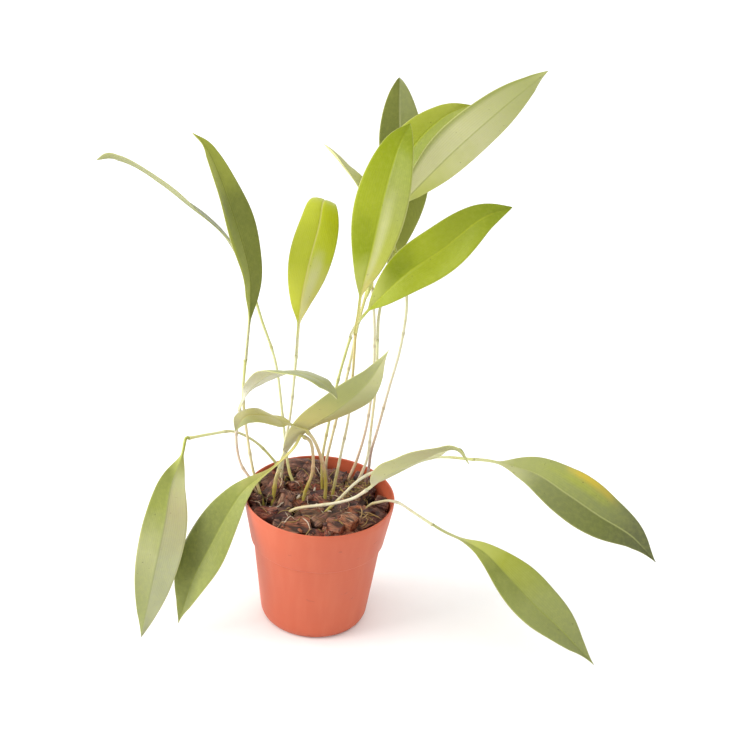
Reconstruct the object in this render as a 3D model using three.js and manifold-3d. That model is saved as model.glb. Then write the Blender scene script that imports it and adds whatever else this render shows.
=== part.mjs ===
// Pleurothallis ruscifolia, a tufted orchid, growing in bark chips in a plastic nursery pot.
// Millimetres, +Z up. The origin is the middle of the pot's flat base, and -Y is the front.

import * as THREE from 'three';
import { mergeVertices } from 'three/addons/utils/BufferGeometryUtils.js';
import Module from 'manifold-3d';

// Driving dimensions of the pot
const potHeight = 83.4;
const rimRadius = 45;
const wall = 1.1;
const floorThickness = 1.6;
const baseRadius = 28.8;
const footEdgeRadius = 30.8;
const footEdgeHeight = 0.8;
const bodyFootRadius = 32.4;
const bodyFootHeight = 4;
const bodyTopRadius = 38.6;
const bandBottom = 54.4;
const bandStep = 1;
const bandBottomRadius = 40.2;
const lipBottom = 79.4;
const lipBottomRadius = 44.8;
const lipRound = 0.5;
const potSides = 40;
const drainHoleCount = 6;
const drainHoleRadius = 3.5;
const drainHoleRing = 20;
const drainHoleSides = 12;

// Driving dimensions of the bark. A pair of numbers is a range that each chip's own size falls in.
const gap = 0.3;
const holeGap = 0.4;
const barkLevel = 68;
const barkRoomTop = 81.5;
const barkSeed = 7;
const chipCount = 54;
const chipReach = 38;
const chipLength = [9.8, 18.8];
const chipWidth = [6.5, 12.5];
const chipThickness = [3, 6.5];
const chipCornerShare = [0.7, 1.2];
const chipRise = [1.5, 4.5];
const chipTurnJitter = [0, 0.5];
const chipPitch = [-0.55, 0.55];
const chipRoll = [-0.4, 0.4];
const chipHeading = [0, Math.PI];
const chipHeapRise = 8;
const chipHeapCentre = [-16, 38];
const chipHeapSpread = 22;

// Driving dimensions of the shoots
const stemFootRadius = 1;
const stemTopRadius = 0.92;
const stemSlimming = 0.14;
const nodeSwelling = 0.25;
const nodeLength = 1.8;
const nodeReach = 2.7;
const longStem = 70;
const longStemNodes = [0.42, 0.74];
const shortStemNodes = [0.58];
const rootedDepth = 9;
const stemSides = 6;
const stemSteps = 11;
const closestRings = 0.5;
const ringFacing = new THREE.Vector3(0, -1, 0.3);
const jointRun = 2.5;
const petioleHalfWidth = 1.05;
const petioleThickness = 1.4;
const petioleFold = 38;
const bladeThickness = 0.9;
const bladeFold = 15;
const unfoldRun = 5;
const bladeRise = 1.05;
const bladeFall = 0.95;
const tipHalfWidth = 0.35;
const bladeColumns = 4;
const bladeRows = 13;

// Each shoot is a thin cane (the ramicaul) that carries one leaf. Its stem is a list of places in
// millimetres from the bark to the joint, and its leaf goes on from the joint to the tip. petiole is
// the share of the leaf that is stalk, and face says where the upper side looks, at the base and tip.
// Where a shoot has them, fold is its own fold in degrees, rise and taper its own bladeRise and
// bladeFall, and girth its thickness beside the others.
const shoots = [
  {
    name: 'far_left',
    stem: [
      [-11, 17, 72], [-18, 22, 79], [-22, 30, 89], [-26, 37, 113],
      [-32, 43, 147], [-42, 49, 173], [-48, 53, 190],
    ],
    leaf: [[-65, 56, 222], [-88, 57, 241], [-111, 59, 257], [-130, 61, 265], [-142, 62, 263]],
    width: 28, petiole: 0.1, taper: 0.94, fold: 4, face: [[0.68, 0.1, 0.72], [0.34, 0.62, 0.71]],
  },
  {
    name: 'left_dark',
    stem: [
      [-34, 4, 72], [-41, 7, 94], [-46, 12, 118],
      [-49, 17, 138], [-48.7, 21, 160],
    ],
    leaf: [
      [-48.3, 25, 173], [-48, 30, 189], [-50, 36, 213],
      [-64, 46, 251], [-76, 53, 276], [-86, 57, 286],
    ],
    width: 27.5, petiole: 0.16, rise: 1.12, taper: 1.1, face: [[0.78, -0.57, 0.26], [0.82, -0.27, 0.51]],
  },
  {
    name: 'middle_backward',
    stem: [
      [-25, 20, 72], [-24, 20, 90], [-23, 23, 105],
      [-21, 26, 122], [-20, 31, 143], [-19.6, 36, 157],
    ],
    leaf: [
      [-19.4, 39, 171], [-18.6, 43, 190], [-15, 49, 213], [-11, 60, 231], [-10, 72, 239.5],
      [-9, 84, 237.5], [-9, 94, 229], [-9, 101, 219], [-9, 106, 208],
    ],
    width: 25.5, petiole: 0.13, rise: 1.2, taper: 2, fold: -5, face: [[0.1, -0.75, 0.6], [0.1, -0.4, 0.85]],
  },
  {
    name: 'centre_bright',
    stem: [[7, 13, 72], [11, 15, 104], [14, 16, 128], [15, 15, 160], [15, 14, 186]],
    leaf: [
      [16, 14, 199], [17, 15, 214], [21, 18, 237],
      [26, 26, 268], [32, 38, 293], [38, 52, 303],
    ],
    width: 31, petiole: 0.18, face: [[-0.1, -0.85, 0.5], [-0.1, -0.8, 0.6]],
  },
  {
    name: 'high_right_pale',
    stem: [
      [26, 25, 72], [28, 26, 86], [29, 32, 97], [32, 37, 110],
      [37, 43, 135], [42, 48, 160], [44, 51, 187], [41, 51, 209],
    ],
    leaf: [[34, 50, 227], [34, 51, 248], [57, 56, 278], [87, 63, 309], [114, 71, 333]],
    width: 31, petiole: 0.27, rise: 0.97, taper: 1, fold: 8,
    face: [[-0.28, 0.96, 0.06], [-0.36, 0.93, 0.1]],
  },
  {
    name: 'high_dark',
    stem: [[19, 24, 72], [23, 21, 84], [27, 25, 97], [28, 33, 115], [29, 43, 140], [28, 50, 164]],
    leaf: [[28, 55, 181], [33, 66, 212], [38, 93, 243], [33, 117, 270], [30, 137, 298]],
    width: 30, petiole: 0.25, taper: 0.8, face: [[0.15, -0.8, 0.55], [0.15, -0.8, 0.55]],
  },
  {
    name: 'right_bright',
    stem: [
      [1, 19, 72], [0, 20, 88], [0, 22, 99],
      [2, 26, 115], [6, 30, 144], [10, 31, 165], [12.2, 31, 175],
    ],
    leaf: [
      [17, 30, 187], [28, 29, 203], [43, 32, 219],
      [62, 35, 234], [82, 40, 252], [100, 45, 259],
    ],
    width: 29, petiole: 0.17, rise: 0.92, taper: 0.94,
    face: [[-0.25, -0.87, 0.43], [-0.1, -0.84, 0.54]],
  },
  {
    name: 'left_arch',
    stem: [
      [-37, 9, 72], [-40, 9, 79], [-43, 8, 87], [-48, 11, 93],
      [-51, 14, 101], [-52, 13, 115], [-50, 8, 133],
    ],
    leaf: [
      [-46, 4, 147], [-40, -1, 158], [-30, -8, 169],
      [-17, -19, 176], [-3, -32, 179], [8, -42, 174],
    ],
    width: 26, petiole: 0.1, fold: 1, face: [[-0.35, 0.67, 0.66], [0.29, 0.16, 0.94]],
  },
  {
    name: 'inner_pale',
    stem: [[-28, 4, 72], [-27, 7, 87], [-25, 7, 95]],
    leaf: [[-22, 7, 106.5], [-11, 4, 125], [8, -3, 145.5], [24, -10, 168], [35, -15, 193]],
    width: 35, petiole: 0.1, rise: 0.87, taper: 1.5, girth: 1.35, fold: 6,
    face: [[-0.63, 0.32, 0.7], [0.07, 0.98, 0.16]],
  },
  {
    name: 'small_left',
    stem: [
      [3, 8, 72], [3, 10, 86], [1, 9, 98], [-3, 5, 113],
      [-6, 2, 121], [-9, 0, 126],
    ],
    leaf: [
      [-15, -9, 134], [-20, -15, 140], [-26, -20, 145],
      [-33, -27, 151], [-43, -36, 155], [-48, -46, 151],
    ],
    width: 17.5, petiole: 0.3, rise: 0.93, girth: 1.2, fold: -3,
    face: [[0.61, 0.12, 0.78], [-0.13, -0.09, 0.99]],
  },
  {
    name: 'behind_centre',
    stem: [[5, 25, 72], [2, 29, 85], [4, 34, 100], [11, 42, 140], [16, 48, 177]],
    leaf: [[20, 50, 200], [21, 54, 229], [15, 60, 252], [0, 69, 268], [-11, 80, 275]],
    width: 22.5, petiole: 0.12, rise: 0.85, taper: 1.05,
    face: [[0.97, -0.25, 0.01], [0.67, 0.03, 0.74]],
  },
  {
    name: 'high_bright',
    stem: [[14, 29, 71], [20, 33, 87], [25, 42, 108], [27, 51, 136], [26, 58, 164.5], [23, 63, 191]],
    leaf: [[22, 66, 214.5], [28, 75, 243], [40, 82, 274], [57, 89, 293], [73, 92, 301]],
    width: 28, petiole: 0.14, face: [[-0.3, -0.7, 0.6], [-0.3, -0.7, 0.6]],
  },
  {
    name: 'left_hanging',
    stem: [
      [-20, 26, 72], [-24, 27, 80], [-30, 28, 88], [-41, 26, 101],
      [-54, 20, 111], [-67, 12, 113], [-79, 4, 114],
    ],
    leaf: [[-83, -1, 103], [-88, -8, 87], [-90, -20, 69], [-94, -36, 44], [-99, -56, 11]],
    width: 27.5, petiole: 0.1, rise: 0.97, taper: 1, fold: 7,
    face: [[-0.04, 0.82, -0.57], [0.24, 0.81, -0.53]],
  },
  {
    name: 'left_over_rim',
    stem: [
      [-10, 4, 72], [-9, 5, 81], [-6, 6, 91], [-5, 6, 100],
      [-6, 4, 113], [-8, 3, 119], [-11, 1, 122],
    ],
    leaf: [
      [-17, -2, 115], [-28, -5, 103], [-43, -10, 91], [-52, -14, 77],
      [-63, -22, 54], [-72, -30, 35], [-79, -38, 10],
    ],
    width: 32, petiole: 0.17, rise: 1.8, taper: 1.3, girth: 1.15,
    face: [[-0.3, -0.5, 0.8], [-0.5, -0.65, 0.55]],
  },
  {
    name: 'right_arch',
    stem: [
      [-19, -8, 72], [-15, -12, 79], [-9, -13, 82],
      [8, -13, 86], [20, -12, 90], [28, -11, 96],
    ],
    leaf: [
      [38, -13, 108], [48, -18, 118], [60, -28, 131],
      [68, -36, 141], [77, -43, 147], [84, -50, 143],
    ],
    width: 26, petiole: 0.05, rise: 0.65, taper: 1.2, girth: 1.1, fold: 11,
    face: [[-0.25, 0.68, 0.66], [-0.1, 0.66, 0.7]],
  },
  {
    name: 'far_right',
    stem: [
      [1, -10, 72], [5, -9, 78], [12, -4, 84], [22, 1, 94],
      [32, 4, 100], [48, 6, 107], [70, 4, 113], [90, -1, 116],
    ],
    leaf: [
      [102, -4, 117], [125, -8, 114], [144, -17, 107],
      [164, -23, 97], [184, -27, 87], [199, -36, 76],
    ],
    width: 32, petiole: 0.1, rise: 1.2, taper: 1.25, face: [[0.22, -0.68, 0.68], [0.22, -0.68, 0.68]],
  },
  {
    name: 'right_hanging',
    stem: [
      [28, 3, 72], [31, 0, 79], [35, -2, 82], [41, -4, 85],
      [48, -6, 85], [57, -9, 81], [68.5, -14, 76.5],
    ],
    leaf: [
      [77, -17, 73.4], [88, -21, 71], [101, -24, 65], [118, -32, 52],
      [132, -39, 41], [147, -46, 31], [168, -60, 17],
    ],
    width: 31, petiole: 0.11, rise: 1.55, taper: 1.4, face: [[0.35, -0.6, 0.72], [0.35, -0.6, 0.72]],
  },
];

const wasm = await Module();
wasm.setup();

// Turns a closed mesh into a solid that can be joined and cut
function toSolid(geometry) {
  const bare = new THREE.BufferGeometry();
  bare.setAttribute('position', geometry.getAttribute('position'));
  bare.setIndex(geometry.getIndex());
  const merged = mergeVertices(bare, 1e-4);
  return new wasm.Manifold(new wasm.Mesh({
    numProp: 3,
    vertProperties: new Float32Array(merged.getAttribute('position').array),
    triVerts: new Uint32Array(merged.getIndex().array),
  }));
}

function toGeometry(solid) {
  const mesh = solid.getMesh();
  const geometry = new THREE.BufferGeometry();
  geometry.setAttribute('position', new THREE.BufferAttribute(new Float32Array(mesh.vertProperties), 3));
  geometry.setIndex(Array.from(mesh.triVerts));
  return geometry;
}

// A turned solid about the Z axis, from its outline as pairs of radius and height
function turned(outline, sides) {
  const points = outline.map(([radius, height]) => new THREE.Vector2(radius, height));
  const geometry = new THREE.LatheGeometry(points, sides);
  geometry.rotateX(Math.PI / 2);
  return geometry;
}

function smoothWay(places) {
  return new THREE.CatmullRomCurve3(places, false, 'catmullrom', 0.5);
}

function seededRandom(seed) {
  let state = seed;
  return () => {
    state = (state * 1664525 + 1013904223) % 4294967296;
    return state / 4294967296;
  };
}

// The pot: a tapered wall, a wider rim band above a small step, and a floor with drain holes
function potSolid() {
  const outline = [
    [0, 0],
    [baseRadius, 0],
    [footEdgeRadius, footEdgeHeight],
    [bodyFootRadius, bodyFootHeight],
    [bodyTopRadius, bandBottom - bandStep],
    [bandBottomRadius, bandBottom],
    [lipBottomRadius, lipBottom],
    [rimRadius, potHeight - lipRound],
    [rimRadius - lipRound, potHeight],
    [rimRadius - wall, potHeight - lipRound],
    [lipBottomRadius - wall, lipBottom],
    [bandBottomRadius - wall, bandBottom],
    [bodyTopRadius - wall, bandBottom - 2 * bandStep],
    [bodyFootRadius - wall, bodyFootHeight],
    [baseRadius, floorThickness],
    [0, floorThickness],
  ];
  const drillLength = 4 * floorThickness;
  let solid = toSolid(turned(outline, potSides));
  for (let i = 0; i < drainHoleCount; i += 1) {
    const angle = (i / drainHoleCount) * Math.PI * 2;
    const drill = new THREE.CylinderGeometry(drainHoleRadius, drainHoleRadius, drillLength, drainHoleSides);
    drill.rotateX(Math.PI / 2);
    drill.translate(drainHoleRing * Math.cos(angle), drainHoleRing * Math.sin(angle), 0);
    solid = solid.subtract(toSolid(drill));
  }
  return solid;
}

// The room inside the pot, a small gap away from its wall and floor, up to a given height
function potRoom(top) {
  const inset = wall + gap;
  const share = Math.min(1, (top - bandBottom) / (lipBottom - bandBottom));
  const topRadius = THREE.MathUtils.lerp(bandBottomRadius, lipBottomRadius, share) - inset;
  const outline = [
    [0, floorThickness + gap],
    [baseRadius - gap, floorThickness + gap],
    [bodyFootRadius - inset, bodyFootHeight + gap],
    [bodyTopRadius - inset, bandBottom - 2 * bandStep],
    [bandBottomRadius - inset, bandBottom + gap],
    [topRadius, top],
    [0, top],
  ];
  return toSolid(turned(outline, potSides));
}

// One bark chip: a slab with six uneven faces
function chipGeometry(pick) {
  const geometry = new THREE.BoxGeometry(1, 1, 1);
  const corners = Array.from({ length: 8 }, () => [0, 1, 2].map(() => pick(chipCornerShare)));
  const size = [chipLength, chipWidth, chipThickness].map(pick);
  const position = geometry.getAttribute('position');
  for (let i = 0; i < position.count; i += 1) {
    const sides = [position.getX(i), position.getY(i), position.getZ(i)];
    const corner = corners[(sides[0] > 0 ? 4 : 0) + (sides[1] > 0 ? 2 : 0) + (sides[2] > 0 ? 1 : 0)];
    const moved = sides.map((side, axis) => side * size[axis] * corner[axis]);
    position.setXYZ(i, ...moved);
  }
  return geometry;
}

// The bark heaps up against the back of the pot
function chipHeight(x, y) {
  const fromHeap = Math.hypot(x - chipHeapCentre[0], y - chipHeapCentre[1]) / chipHeapSpread;
  return barkLevel + chipHeapRise * Math.exp(-fromHeap * fromHeap);
}

// The bark: a core that fills the pot, with chips fused to its top and plain holes for the stems
function barkSolid() {
  const random = seededRandom(barkSeed);
  const pick = ([least, most]) => THREE.MathUtils.lerp(least, most, random());
  const goldenAngle = Math.PI * (3 - Math.sqrt(5));
  const pieces = [potRoom(barkLevel)];
  for (let i = 0; i < chipCount; i += 1) {
    const radius = chipReach * Math.sqrt((i + 0.5) / chipCount);
    const angle = i * goldenAngle + pick(chipTurnJitter);
    const x = radius * Math.cos(angle);
    const y = radius * Math.sin(angle);
    const chip = chipGeometry(pick);
    const turn = new THREE.Euler(pick(chipPitch), pick(chipRoll), pick(chipHeading), 'ZXY');
    chip.applyMatrix4(new THREE.Matrix4().makeRotationFromEuler(turn));
    chip.translate(x, y, chipHeight(x, y) + pick(chipRise));
    pieces.push(toSolid(chip));
  }
  let solid = wasm.Manifold.union(pieces).intersect(potRoom(barkRoomTop));
  for (const shoot of shoots) {
    solid = solid.subtract(toSolid(stemGeometry(shoot, holeGap)));
  }
  const parts = solid.decompose();
  parts.sort((a, b) => b.volume() - a.volume());
  return parts[0];
}

// The places of a stem, with its rooted foot below the bark's surface
function stemPlaces(shoot) {
  const places = shoot.stem.map((place) => new THREE.Vector3(...place));
  const foot = places[0].clone();
  foot.z -= rootedDepth;
  return [foot, ...places];
}

// The shares of a stem's length where its nodes are. The last one is the joint that bears the leaf.
function stemNodes(length) {
  const lower = length > longStem ? longStemNodes : shortStemNodes;
  return [...lower, 1];
}

function stemRadius(shoot, share, length) {
  const girth = shoot.girth ?? 1;
  let radius = THREE.MathUtils.lerp(stemFootRadius, stemTopRadius, share);
  radius -= stemSlimming * 4 * share * (1 - share);
  for (const node of stemNodes(length)) {
    const away = ((share - node) * length) / nodeLength;
    radius += nodeSwelling * Math.exp(-away * away);
  }
  return radius * girth;
}

// Shares of a stem's length where it has a ring: even steps, with three close rings at each node
function stemShares(length) {
  const shares = [];
  for (let i = 0; i <= stemSteps; i += 1) {
    shares.push(i / stemSteps);
  }
  for (const node of stemNodes(length)) {
    shares.push(node - nodeReach / length, node, node + nodeReach / length);
  }
  shares.sort((a, b) => a - b);
  const apart = closestRings / length;
  return shares.filter((share, i) => share <= 1 && (i === 0 || share - shares[i - 1] > apart));
}

// A ramicaul: a slim cane along its way, swollen at its nodes. Its rings don't turn about the way.
function stemGeometry(shoot, extra = 0) {
  const way = smoothWay(stemPlaces(shoot));
  const length = way.getLength();
  const shares = stemShares(length);
  const steps = shares.length - 1;
  const geometry = new THREE.CylinderGeometry(1, 1, 1, stemSides, steps);
  const position = geometry.getAttribute('position');
  for (let i = 0; i < position.count; i += 1) {
    const step = Math.round((position.getY(i) + 0.5) * steps);
    const share = shares[step];
    const centre = way.getPointAt(share);
    const along = way.getTangentAt(share);
    const side = ringFacing.clone().cross(along).normalize();
    const front = along.clone().cross(side);
    const radius = stemRadius(shoot, share, length) + extra;
    if (step === 0) {
      centre.addScaledVector(along, -extra);
    }
    centre.addScaledVector(side, position.getX(i) * radius);
    centre.addScaledVector(front, -position.getZ(i) * radius);
    position.setXYZ(i, centre.x, centre.y, centre.z);
  }
  return geometry;
}

// The leaf's way from just past the joint to the tip. It leaves the joint in line with the stem.
function leafPlaces(shoot) {
  const stem = smoothWay(stemPlaces(shoot));
  const joint = stem.getPointAt(1);
  const onward = stem.getTangentAt(1);
  const start = joint.clone().addScaledVector(onward, gap);
  const bend = joint.clone().addScaledVector(onward, jointRun);
  return [start, bend, ...shoot.leaf.map((place) => new THREE.Vector3(...place))];
}

// Half the blade's width: pointed at both ends, and widest a little past the middle
function bladeHalfWidth(shoot, share) {
  const blade = Math.max(0, (share - shoot.petiole) / (1 - shoot.petiole));
  const rise = shoot.rise ?? bladeRise;
  const fall = shoot.taper ?? bladeFall;
  const widest = rise / (rise + fall);
  const peak = widest ** rise * (1 - widest) ** fall;
  const shape = (blade ** rise * (1 - blade) ** fall) / peak;
  return Math.hypot(petioleHalfWidth * (1 - share), (shoot.width / 2) * shape) + tipHalfWidth * share;
}

// A leaf: a narrow channelled petiole that widens into a blade folded in a shallow V at its midrib.
// Its upper and under side are the same net of triangles, one blade thickness apart.
function leafGeometry(shoot) {
  const way = smoothWay(leafPlaces(shoot));
  const faceBase = new THREE.Vector3(...shoot.face[0]);
  const faceTip = new THREE.Vector3(...shoot.face[1]);
  const fold = shoot.fold ?? bladeFold;
  const columns = bladeColumns + 1;
  const positions = [];
  for (const sign of [1, -1]) {
    for (let row = 0; row <= bladeRows; row += 1) {
      const share = row / bladeRows;
      const centre = way.getPointAt(share);
      const along = way.getTangentAt(share);
      const face = faceBase.clone().lerp(faceTip, share);
      const side = along.clone().cross(face).normalize();
      const up = side.clone().cross(along);
      const half = bladeHalfWidth(shoot, share);
      const open = THREE.MathUtils.clamp((half - petioleHalfWidth) / unfoldRun, 0, 1);
      const angle = THREE.MathUtils.degToRad(THREE.MathUtils.lerp(petioleFold, fold, open));
      const thickness = THREE.MathUtils.lerp(petioleThickness, bladeThickness, open);
      for (let column = 0; column < columns; column += 1) {
        const across = (column / bladeColumns) * 2 - 1;
        const place = centre.clone();
        place.addScaledVector(side, across * half * Math.cos(angle));
        place.addScaledVector(up, Math.abs(across) * half * Math.sin(angle) + (sign * thickness) / 2);
        positions.push(place.x, place.y, place.z);
      }
    }
  }
  const under = (bladeRows + 1) * columns;
  const at = (row, column) => row * columns + column;
  const index = [];
  for (let row = 0; row < bladeRows; row += 1) {
    for (let column = 0; column < bladeColumns; column += 1) {
      const [a, b] = [at(row, column), at(row, column + 1)];
      const [c, d] = [at(row + 1, column + 1), at(row + 1, column)];
      index.push(a, b, c, a, c, d);
      index.push(under + a, under + c, under + b, under + a, under + d, under + c);
    }
  }
  // The thin edge all round joins the two sides
  const edge = [];
  for (let column = 0; column < bladeColumns; column += 1) {
    edge.push(at(0, column));
  }
  for (let row = 0; row < bladeRows; row += 1) {
    edge.push(at(row, bladeColumns));
  }
  for (let column = bladeColumns; column > 0; column -= 1) {
    edge.push(at(bladeRows, column));
  }
  for (let row = bladeRows; row > 0; row -= 1) {
    edge.push(at(row, 0));
  }
  edge.forEach((from, i) => {
    const to = edge[(i + 1) % edge.length];
    index.push(from, under + from, under + to, from, under + to, to);
  });
  const geometry = new THREE.BufferGeometry();
  geometry.setAttribute('position', new THREE.Float32BufferAttribute(positions, 3));
  geometry.setIndex(index);
  return geometry;
}

// Colours and surfaces
const terracotta = { color: 0xe27553, roughness: 0.5, metalness: 0 };
const bark = { color: 0x6b4236, roughness: 0.9, metalness: 0 };
const cane = { color: 0xa3a24c, roughness: 0.55, metalness: 0 };
const foliage = { color: 0x8ea33c, roughness: 0.45, metalness: 0 };

function namedMesh(name, geometry, look) {
  const mesh = new THREE.Mesh(geometry, new THREE.MeshStandardMaterial(look));
  mesh.name = name;
  return mesh;
}

const plant = new THREE.Group();
plant.add(namedMesh('pot', toGeometry(potSolid()), terracotta));
plant.add(namedMesh('bark_mix', toGeometry(barkSolid()), bark));
for (const shoot of shoots) {
  plant.add(namedMesh(`ramicaul_${shoot.name}`, stemGeometry(shoot), cane));
  plant.add(namedMesh(`leaf_${shoot.name}`, leafGeometry(shoot), foliage));
}

export default plant;
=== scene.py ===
# %% [markdown]
# # A potted orchid, piece by piece
# This is Pleurothallis ruscifolia, a small orchid that grows as a tuft of thin canes. Each cane
# carries one leathery leaf. The plant stands in bark chips in a plastic nursery pot. The CAD model is
# loaded first and stays as it is. Its solids give each piece its place, and finer pieces then take
# their places one by one.

# %% Load the CAD model
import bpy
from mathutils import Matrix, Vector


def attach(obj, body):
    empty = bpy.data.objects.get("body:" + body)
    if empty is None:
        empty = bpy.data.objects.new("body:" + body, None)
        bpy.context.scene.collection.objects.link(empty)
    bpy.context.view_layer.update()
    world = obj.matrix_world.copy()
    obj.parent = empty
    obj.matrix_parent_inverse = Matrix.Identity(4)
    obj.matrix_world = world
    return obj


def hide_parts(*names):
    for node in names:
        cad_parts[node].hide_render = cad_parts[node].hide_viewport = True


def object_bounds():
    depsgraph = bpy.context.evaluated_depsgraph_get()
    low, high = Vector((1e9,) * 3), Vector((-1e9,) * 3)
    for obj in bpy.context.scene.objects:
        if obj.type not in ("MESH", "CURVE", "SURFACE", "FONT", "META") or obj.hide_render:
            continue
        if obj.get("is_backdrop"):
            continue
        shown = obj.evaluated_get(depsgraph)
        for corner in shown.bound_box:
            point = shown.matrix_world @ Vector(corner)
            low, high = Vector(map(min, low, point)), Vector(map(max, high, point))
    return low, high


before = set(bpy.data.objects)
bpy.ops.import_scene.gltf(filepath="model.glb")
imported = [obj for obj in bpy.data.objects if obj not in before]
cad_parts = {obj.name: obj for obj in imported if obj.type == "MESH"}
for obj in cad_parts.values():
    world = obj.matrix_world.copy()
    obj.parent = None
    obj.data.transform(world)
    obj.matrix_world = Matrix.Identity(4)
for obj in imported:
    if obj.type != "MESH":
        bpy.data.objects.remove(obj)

cad_low, cad_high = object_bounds()
print("CAD box in metres:", [round(value, 4) for value in (*cad_low, *cad_high)])

# %% [markdown]
# The plant was worked out in millimetres, and Blender works in metres. One named factor between the
# two keeps every number below in the millimetres that a gardener would read off a ruler.

# %% Tools and the unit
import math

import bmesh
import bpy
import numpy as np
from mathutils import Euler, Matrix, Vector, noise
from mathutils.bvhtree import BVHTree

MM = 0.001
print("One millimetre is", MM, "of Blender's metres")

# %% [markdown]
# ## The camera
# The photograph looks down at the pot by some 29 degrees from about 1.25 metres, with the camera
# rolled a little. The three directions of the camera are worked out first and then written into its
# matrix. That is steadier than turning the camera by angles one after the other.

# %% Camera
camera_place = Vector((28.0, -1011.5, 733.0)) * MM
looking_down = math.radians(29.2)
camera_roll = math.radians(4.0)
sensor_width = 36.0
lens_length = 96.4

forward = Vector((0, math.cos(looking_down), -math.sin(looking_down)))
level_up = Vector((0, math.sin(looking_down), math.cos(looking_down)))
level_right = Vector((1, 0, 0))
camera_right = level_right * math.cos(camera_roll) + level_up * math.sin(camera_roll)
camera_up = level_up * math.cos(camera_roll) - level_right * math.sin(camera_roll)

camera = bpy.data.objects.new("camera", bpy.data.cameras.new("camera"))
camera.data.lens = lens_length
camera.data.sensor_width = sensor_width
camera.data.clip_end = 20
turn = Matrix((camera_right, camera_up, -forward)).transposed()
camera.matrix_world = Matrix.Translation(camera_place) @ turn.to_4x4()
bpy.context.scene.collection.objects.link(camera)
bpy.context.scene.camera = camera
print("Camera stands", round(camera_place.length, 2), "m from the foot of the pot")

# %% [markdown]
# ## Building a finish from nodes
# A material in Blender is a small network of nodes. Most networks below need the same few steps: read
# a number from the mesh, stretch it to another range, mix two colours by it. Each step is one short
# method here, so that a finish further down reads like a recipe.
#
# Colours are written as the photograph shows them, from 0 to 255. The light in the room is brighter
# than white, so a surface's own colour is darker than it looks. The helper turns the numbers into the
# linear values that Blender works with, and divides them by the brightness of the room.

# %% Colour helpers
room_brightness = 1.4


def linear(value):
    """A value from 0 to 255 as a share of white light."""
    share = value / 255
    return share / 12.92 if share < 0.04 else ((share + 0.055) / 1.055) ** 2.4


def colour(red, green, blue):
    return (*(linear(value) / room_brightness for value in (red, green, blue)), 1.0)


print("Terracotta in linear light is", [round(value, 3) for value in colour(225, 115, 85)[:3]])

# %% Finish helper
class Finish:
    """A material that is built up node by node around one Principled shader."""

    def __init__(self, name):
        self.material = bpy.data.materials.new(name)
        self.material.use_nodes = True
        self.tree = self.material.node_tree
        self.surface = self.tree.nodes["Principled BSDF"].inputs

    def feed(self, socket, value):
        if isinstance(value, bpy.types.NodeSocket):
            self.tree.links.new(value, socket)
        else:
            socket.default_value = value

    def node(self, kind, inputs, **settings):
        made = self.tree.nodes.new("ShaderNode" + kind)
        for name, value in settings.items():
            setattr(made, name, value)
        for name, value in inputs.items():
            self.feed(made.inputs[name], value)
        return made

    def number(self, name):
        """A number that the mesh carries at each of its points."""
        return self.node("Attribute", {}, attribute_name=name).outputs["Fac"]

    def direction(self, name):
        return self.node("Attribute", {}, attribute_name=name).outputs["Vector"]

    def place(self, scale=(1, 1, 1)):
        """The place on the object in metres, stretched by a scale along each axis."""
        spot = self.node("TexCoord", {}).outputs["Object"]
        return self.node("Mapping", {"Vector": spot, "Scale": scale}).outputs["Vector"]

    def maths(self, operation, first, second=0.0):
        return self.node("Math", {0: first, 1: second}, operation=operation).outputs[0]

    def spread(self, value, low, high, to_low=0.0, to_high=1.0):
        """Stretches a value softly from one range to another, and holds it there."""
        inputs = {"Value": value, "From Min": low, "From Max": high, "To Min": to_low, "To Max": to_high}
        return self.node("MapRange", inputs, interpolation_type="SMOOTHSTEP").outputs["Result"]

    def noise(self, place, scale, detail=2.0, roughness=0.5):
        inputs = {"Vector": place, "Scale": scale, "Detail": detail, "Roughness": roughness}
        return self.node("TexNoise", inputs).outputs["Fac"]

    def ramp(self, value, stops):
        """A colour for each value, from a list of places and colours."""
        made = self.node("ValToRGB", {"Fac": value})
        elements = made.color_ramp.elements
        while len(elements) < len(stops):
            elements.new(0.5)
        for element, (position, tone) in zip(elements, stops):
            element.position = position
            element.color = tone
        return made.outputs["Color"]

    def mix(self, share, first, second):
        inputs = {0: share, 6: first, 7: second}
        return self.node("Mix", inputs, data_type="RGBA").outputs[2]

    def bump(self, height, distance, strength, before=None):
        inputs = {"Height": height, "Distance": distance, "Strength": strength}
        if before is not None:
            inputs["Normal"] = before
        return self.node("Bump", inputs).outputs["Normal"]


# %% [markdown]
# ## Floor and light
# The plant was photographed on white in a bright room. A large pale floor reaches far behind the pot,
# so that its edge never shows. A white sky lights everything evenly. One large soft lamp from the
# left gives the pot and the leaves their bright sides and lays a faint shadow to the right. A small
# one stands low behind the left side, where no leaf is in its way, and brightens the left edge of the
# pot. The light is so strong that the bare floor goes past white, and only the deepest shadow at the
# foot of the pot still shows. Blender's Standard view is used, because it lets the floor reach pure
# white.

# %% Floor
floor_half = 3.0
floor_drop = 0.0002

floor_finish = Finish("pale_floor")
floor_grain = floor_finish.noise(floor_finish.place(), 90.0, 3.0)
floor_tone = floor_finish.mix(floor_grain, (0.95, 0.95, 0.945, 1.0), (0.98, 0.98, 0.98, 1.0))
floor_finish.feed(floor_finish.surface["Base Color"], floor_tone)
floor_finish.feed(floor_finish.surface["Roughness"], 0.75)

floor_mesh = bpy.data.meshes.new("floor")
corner_signs = [(-1, -1), (1, -1), (1, 1), (-1, 1)]
floor_corners = [(x * floor_half, y * floor_half, -floor_drop) for x, y in corner_signs]
floor_mesh.from_pydata(floor_corners, [], [(0, 1, 2, 3)])
floor_mesh.materials.append(floor_finish.material)
floor = bpy.data.objects.new("floor", floor_mesh)
bpy.context.scene.collection.objects.link(floor)
floor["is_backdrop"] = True
print("The floor is", 2 * floor_half, "m wide")

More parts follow.
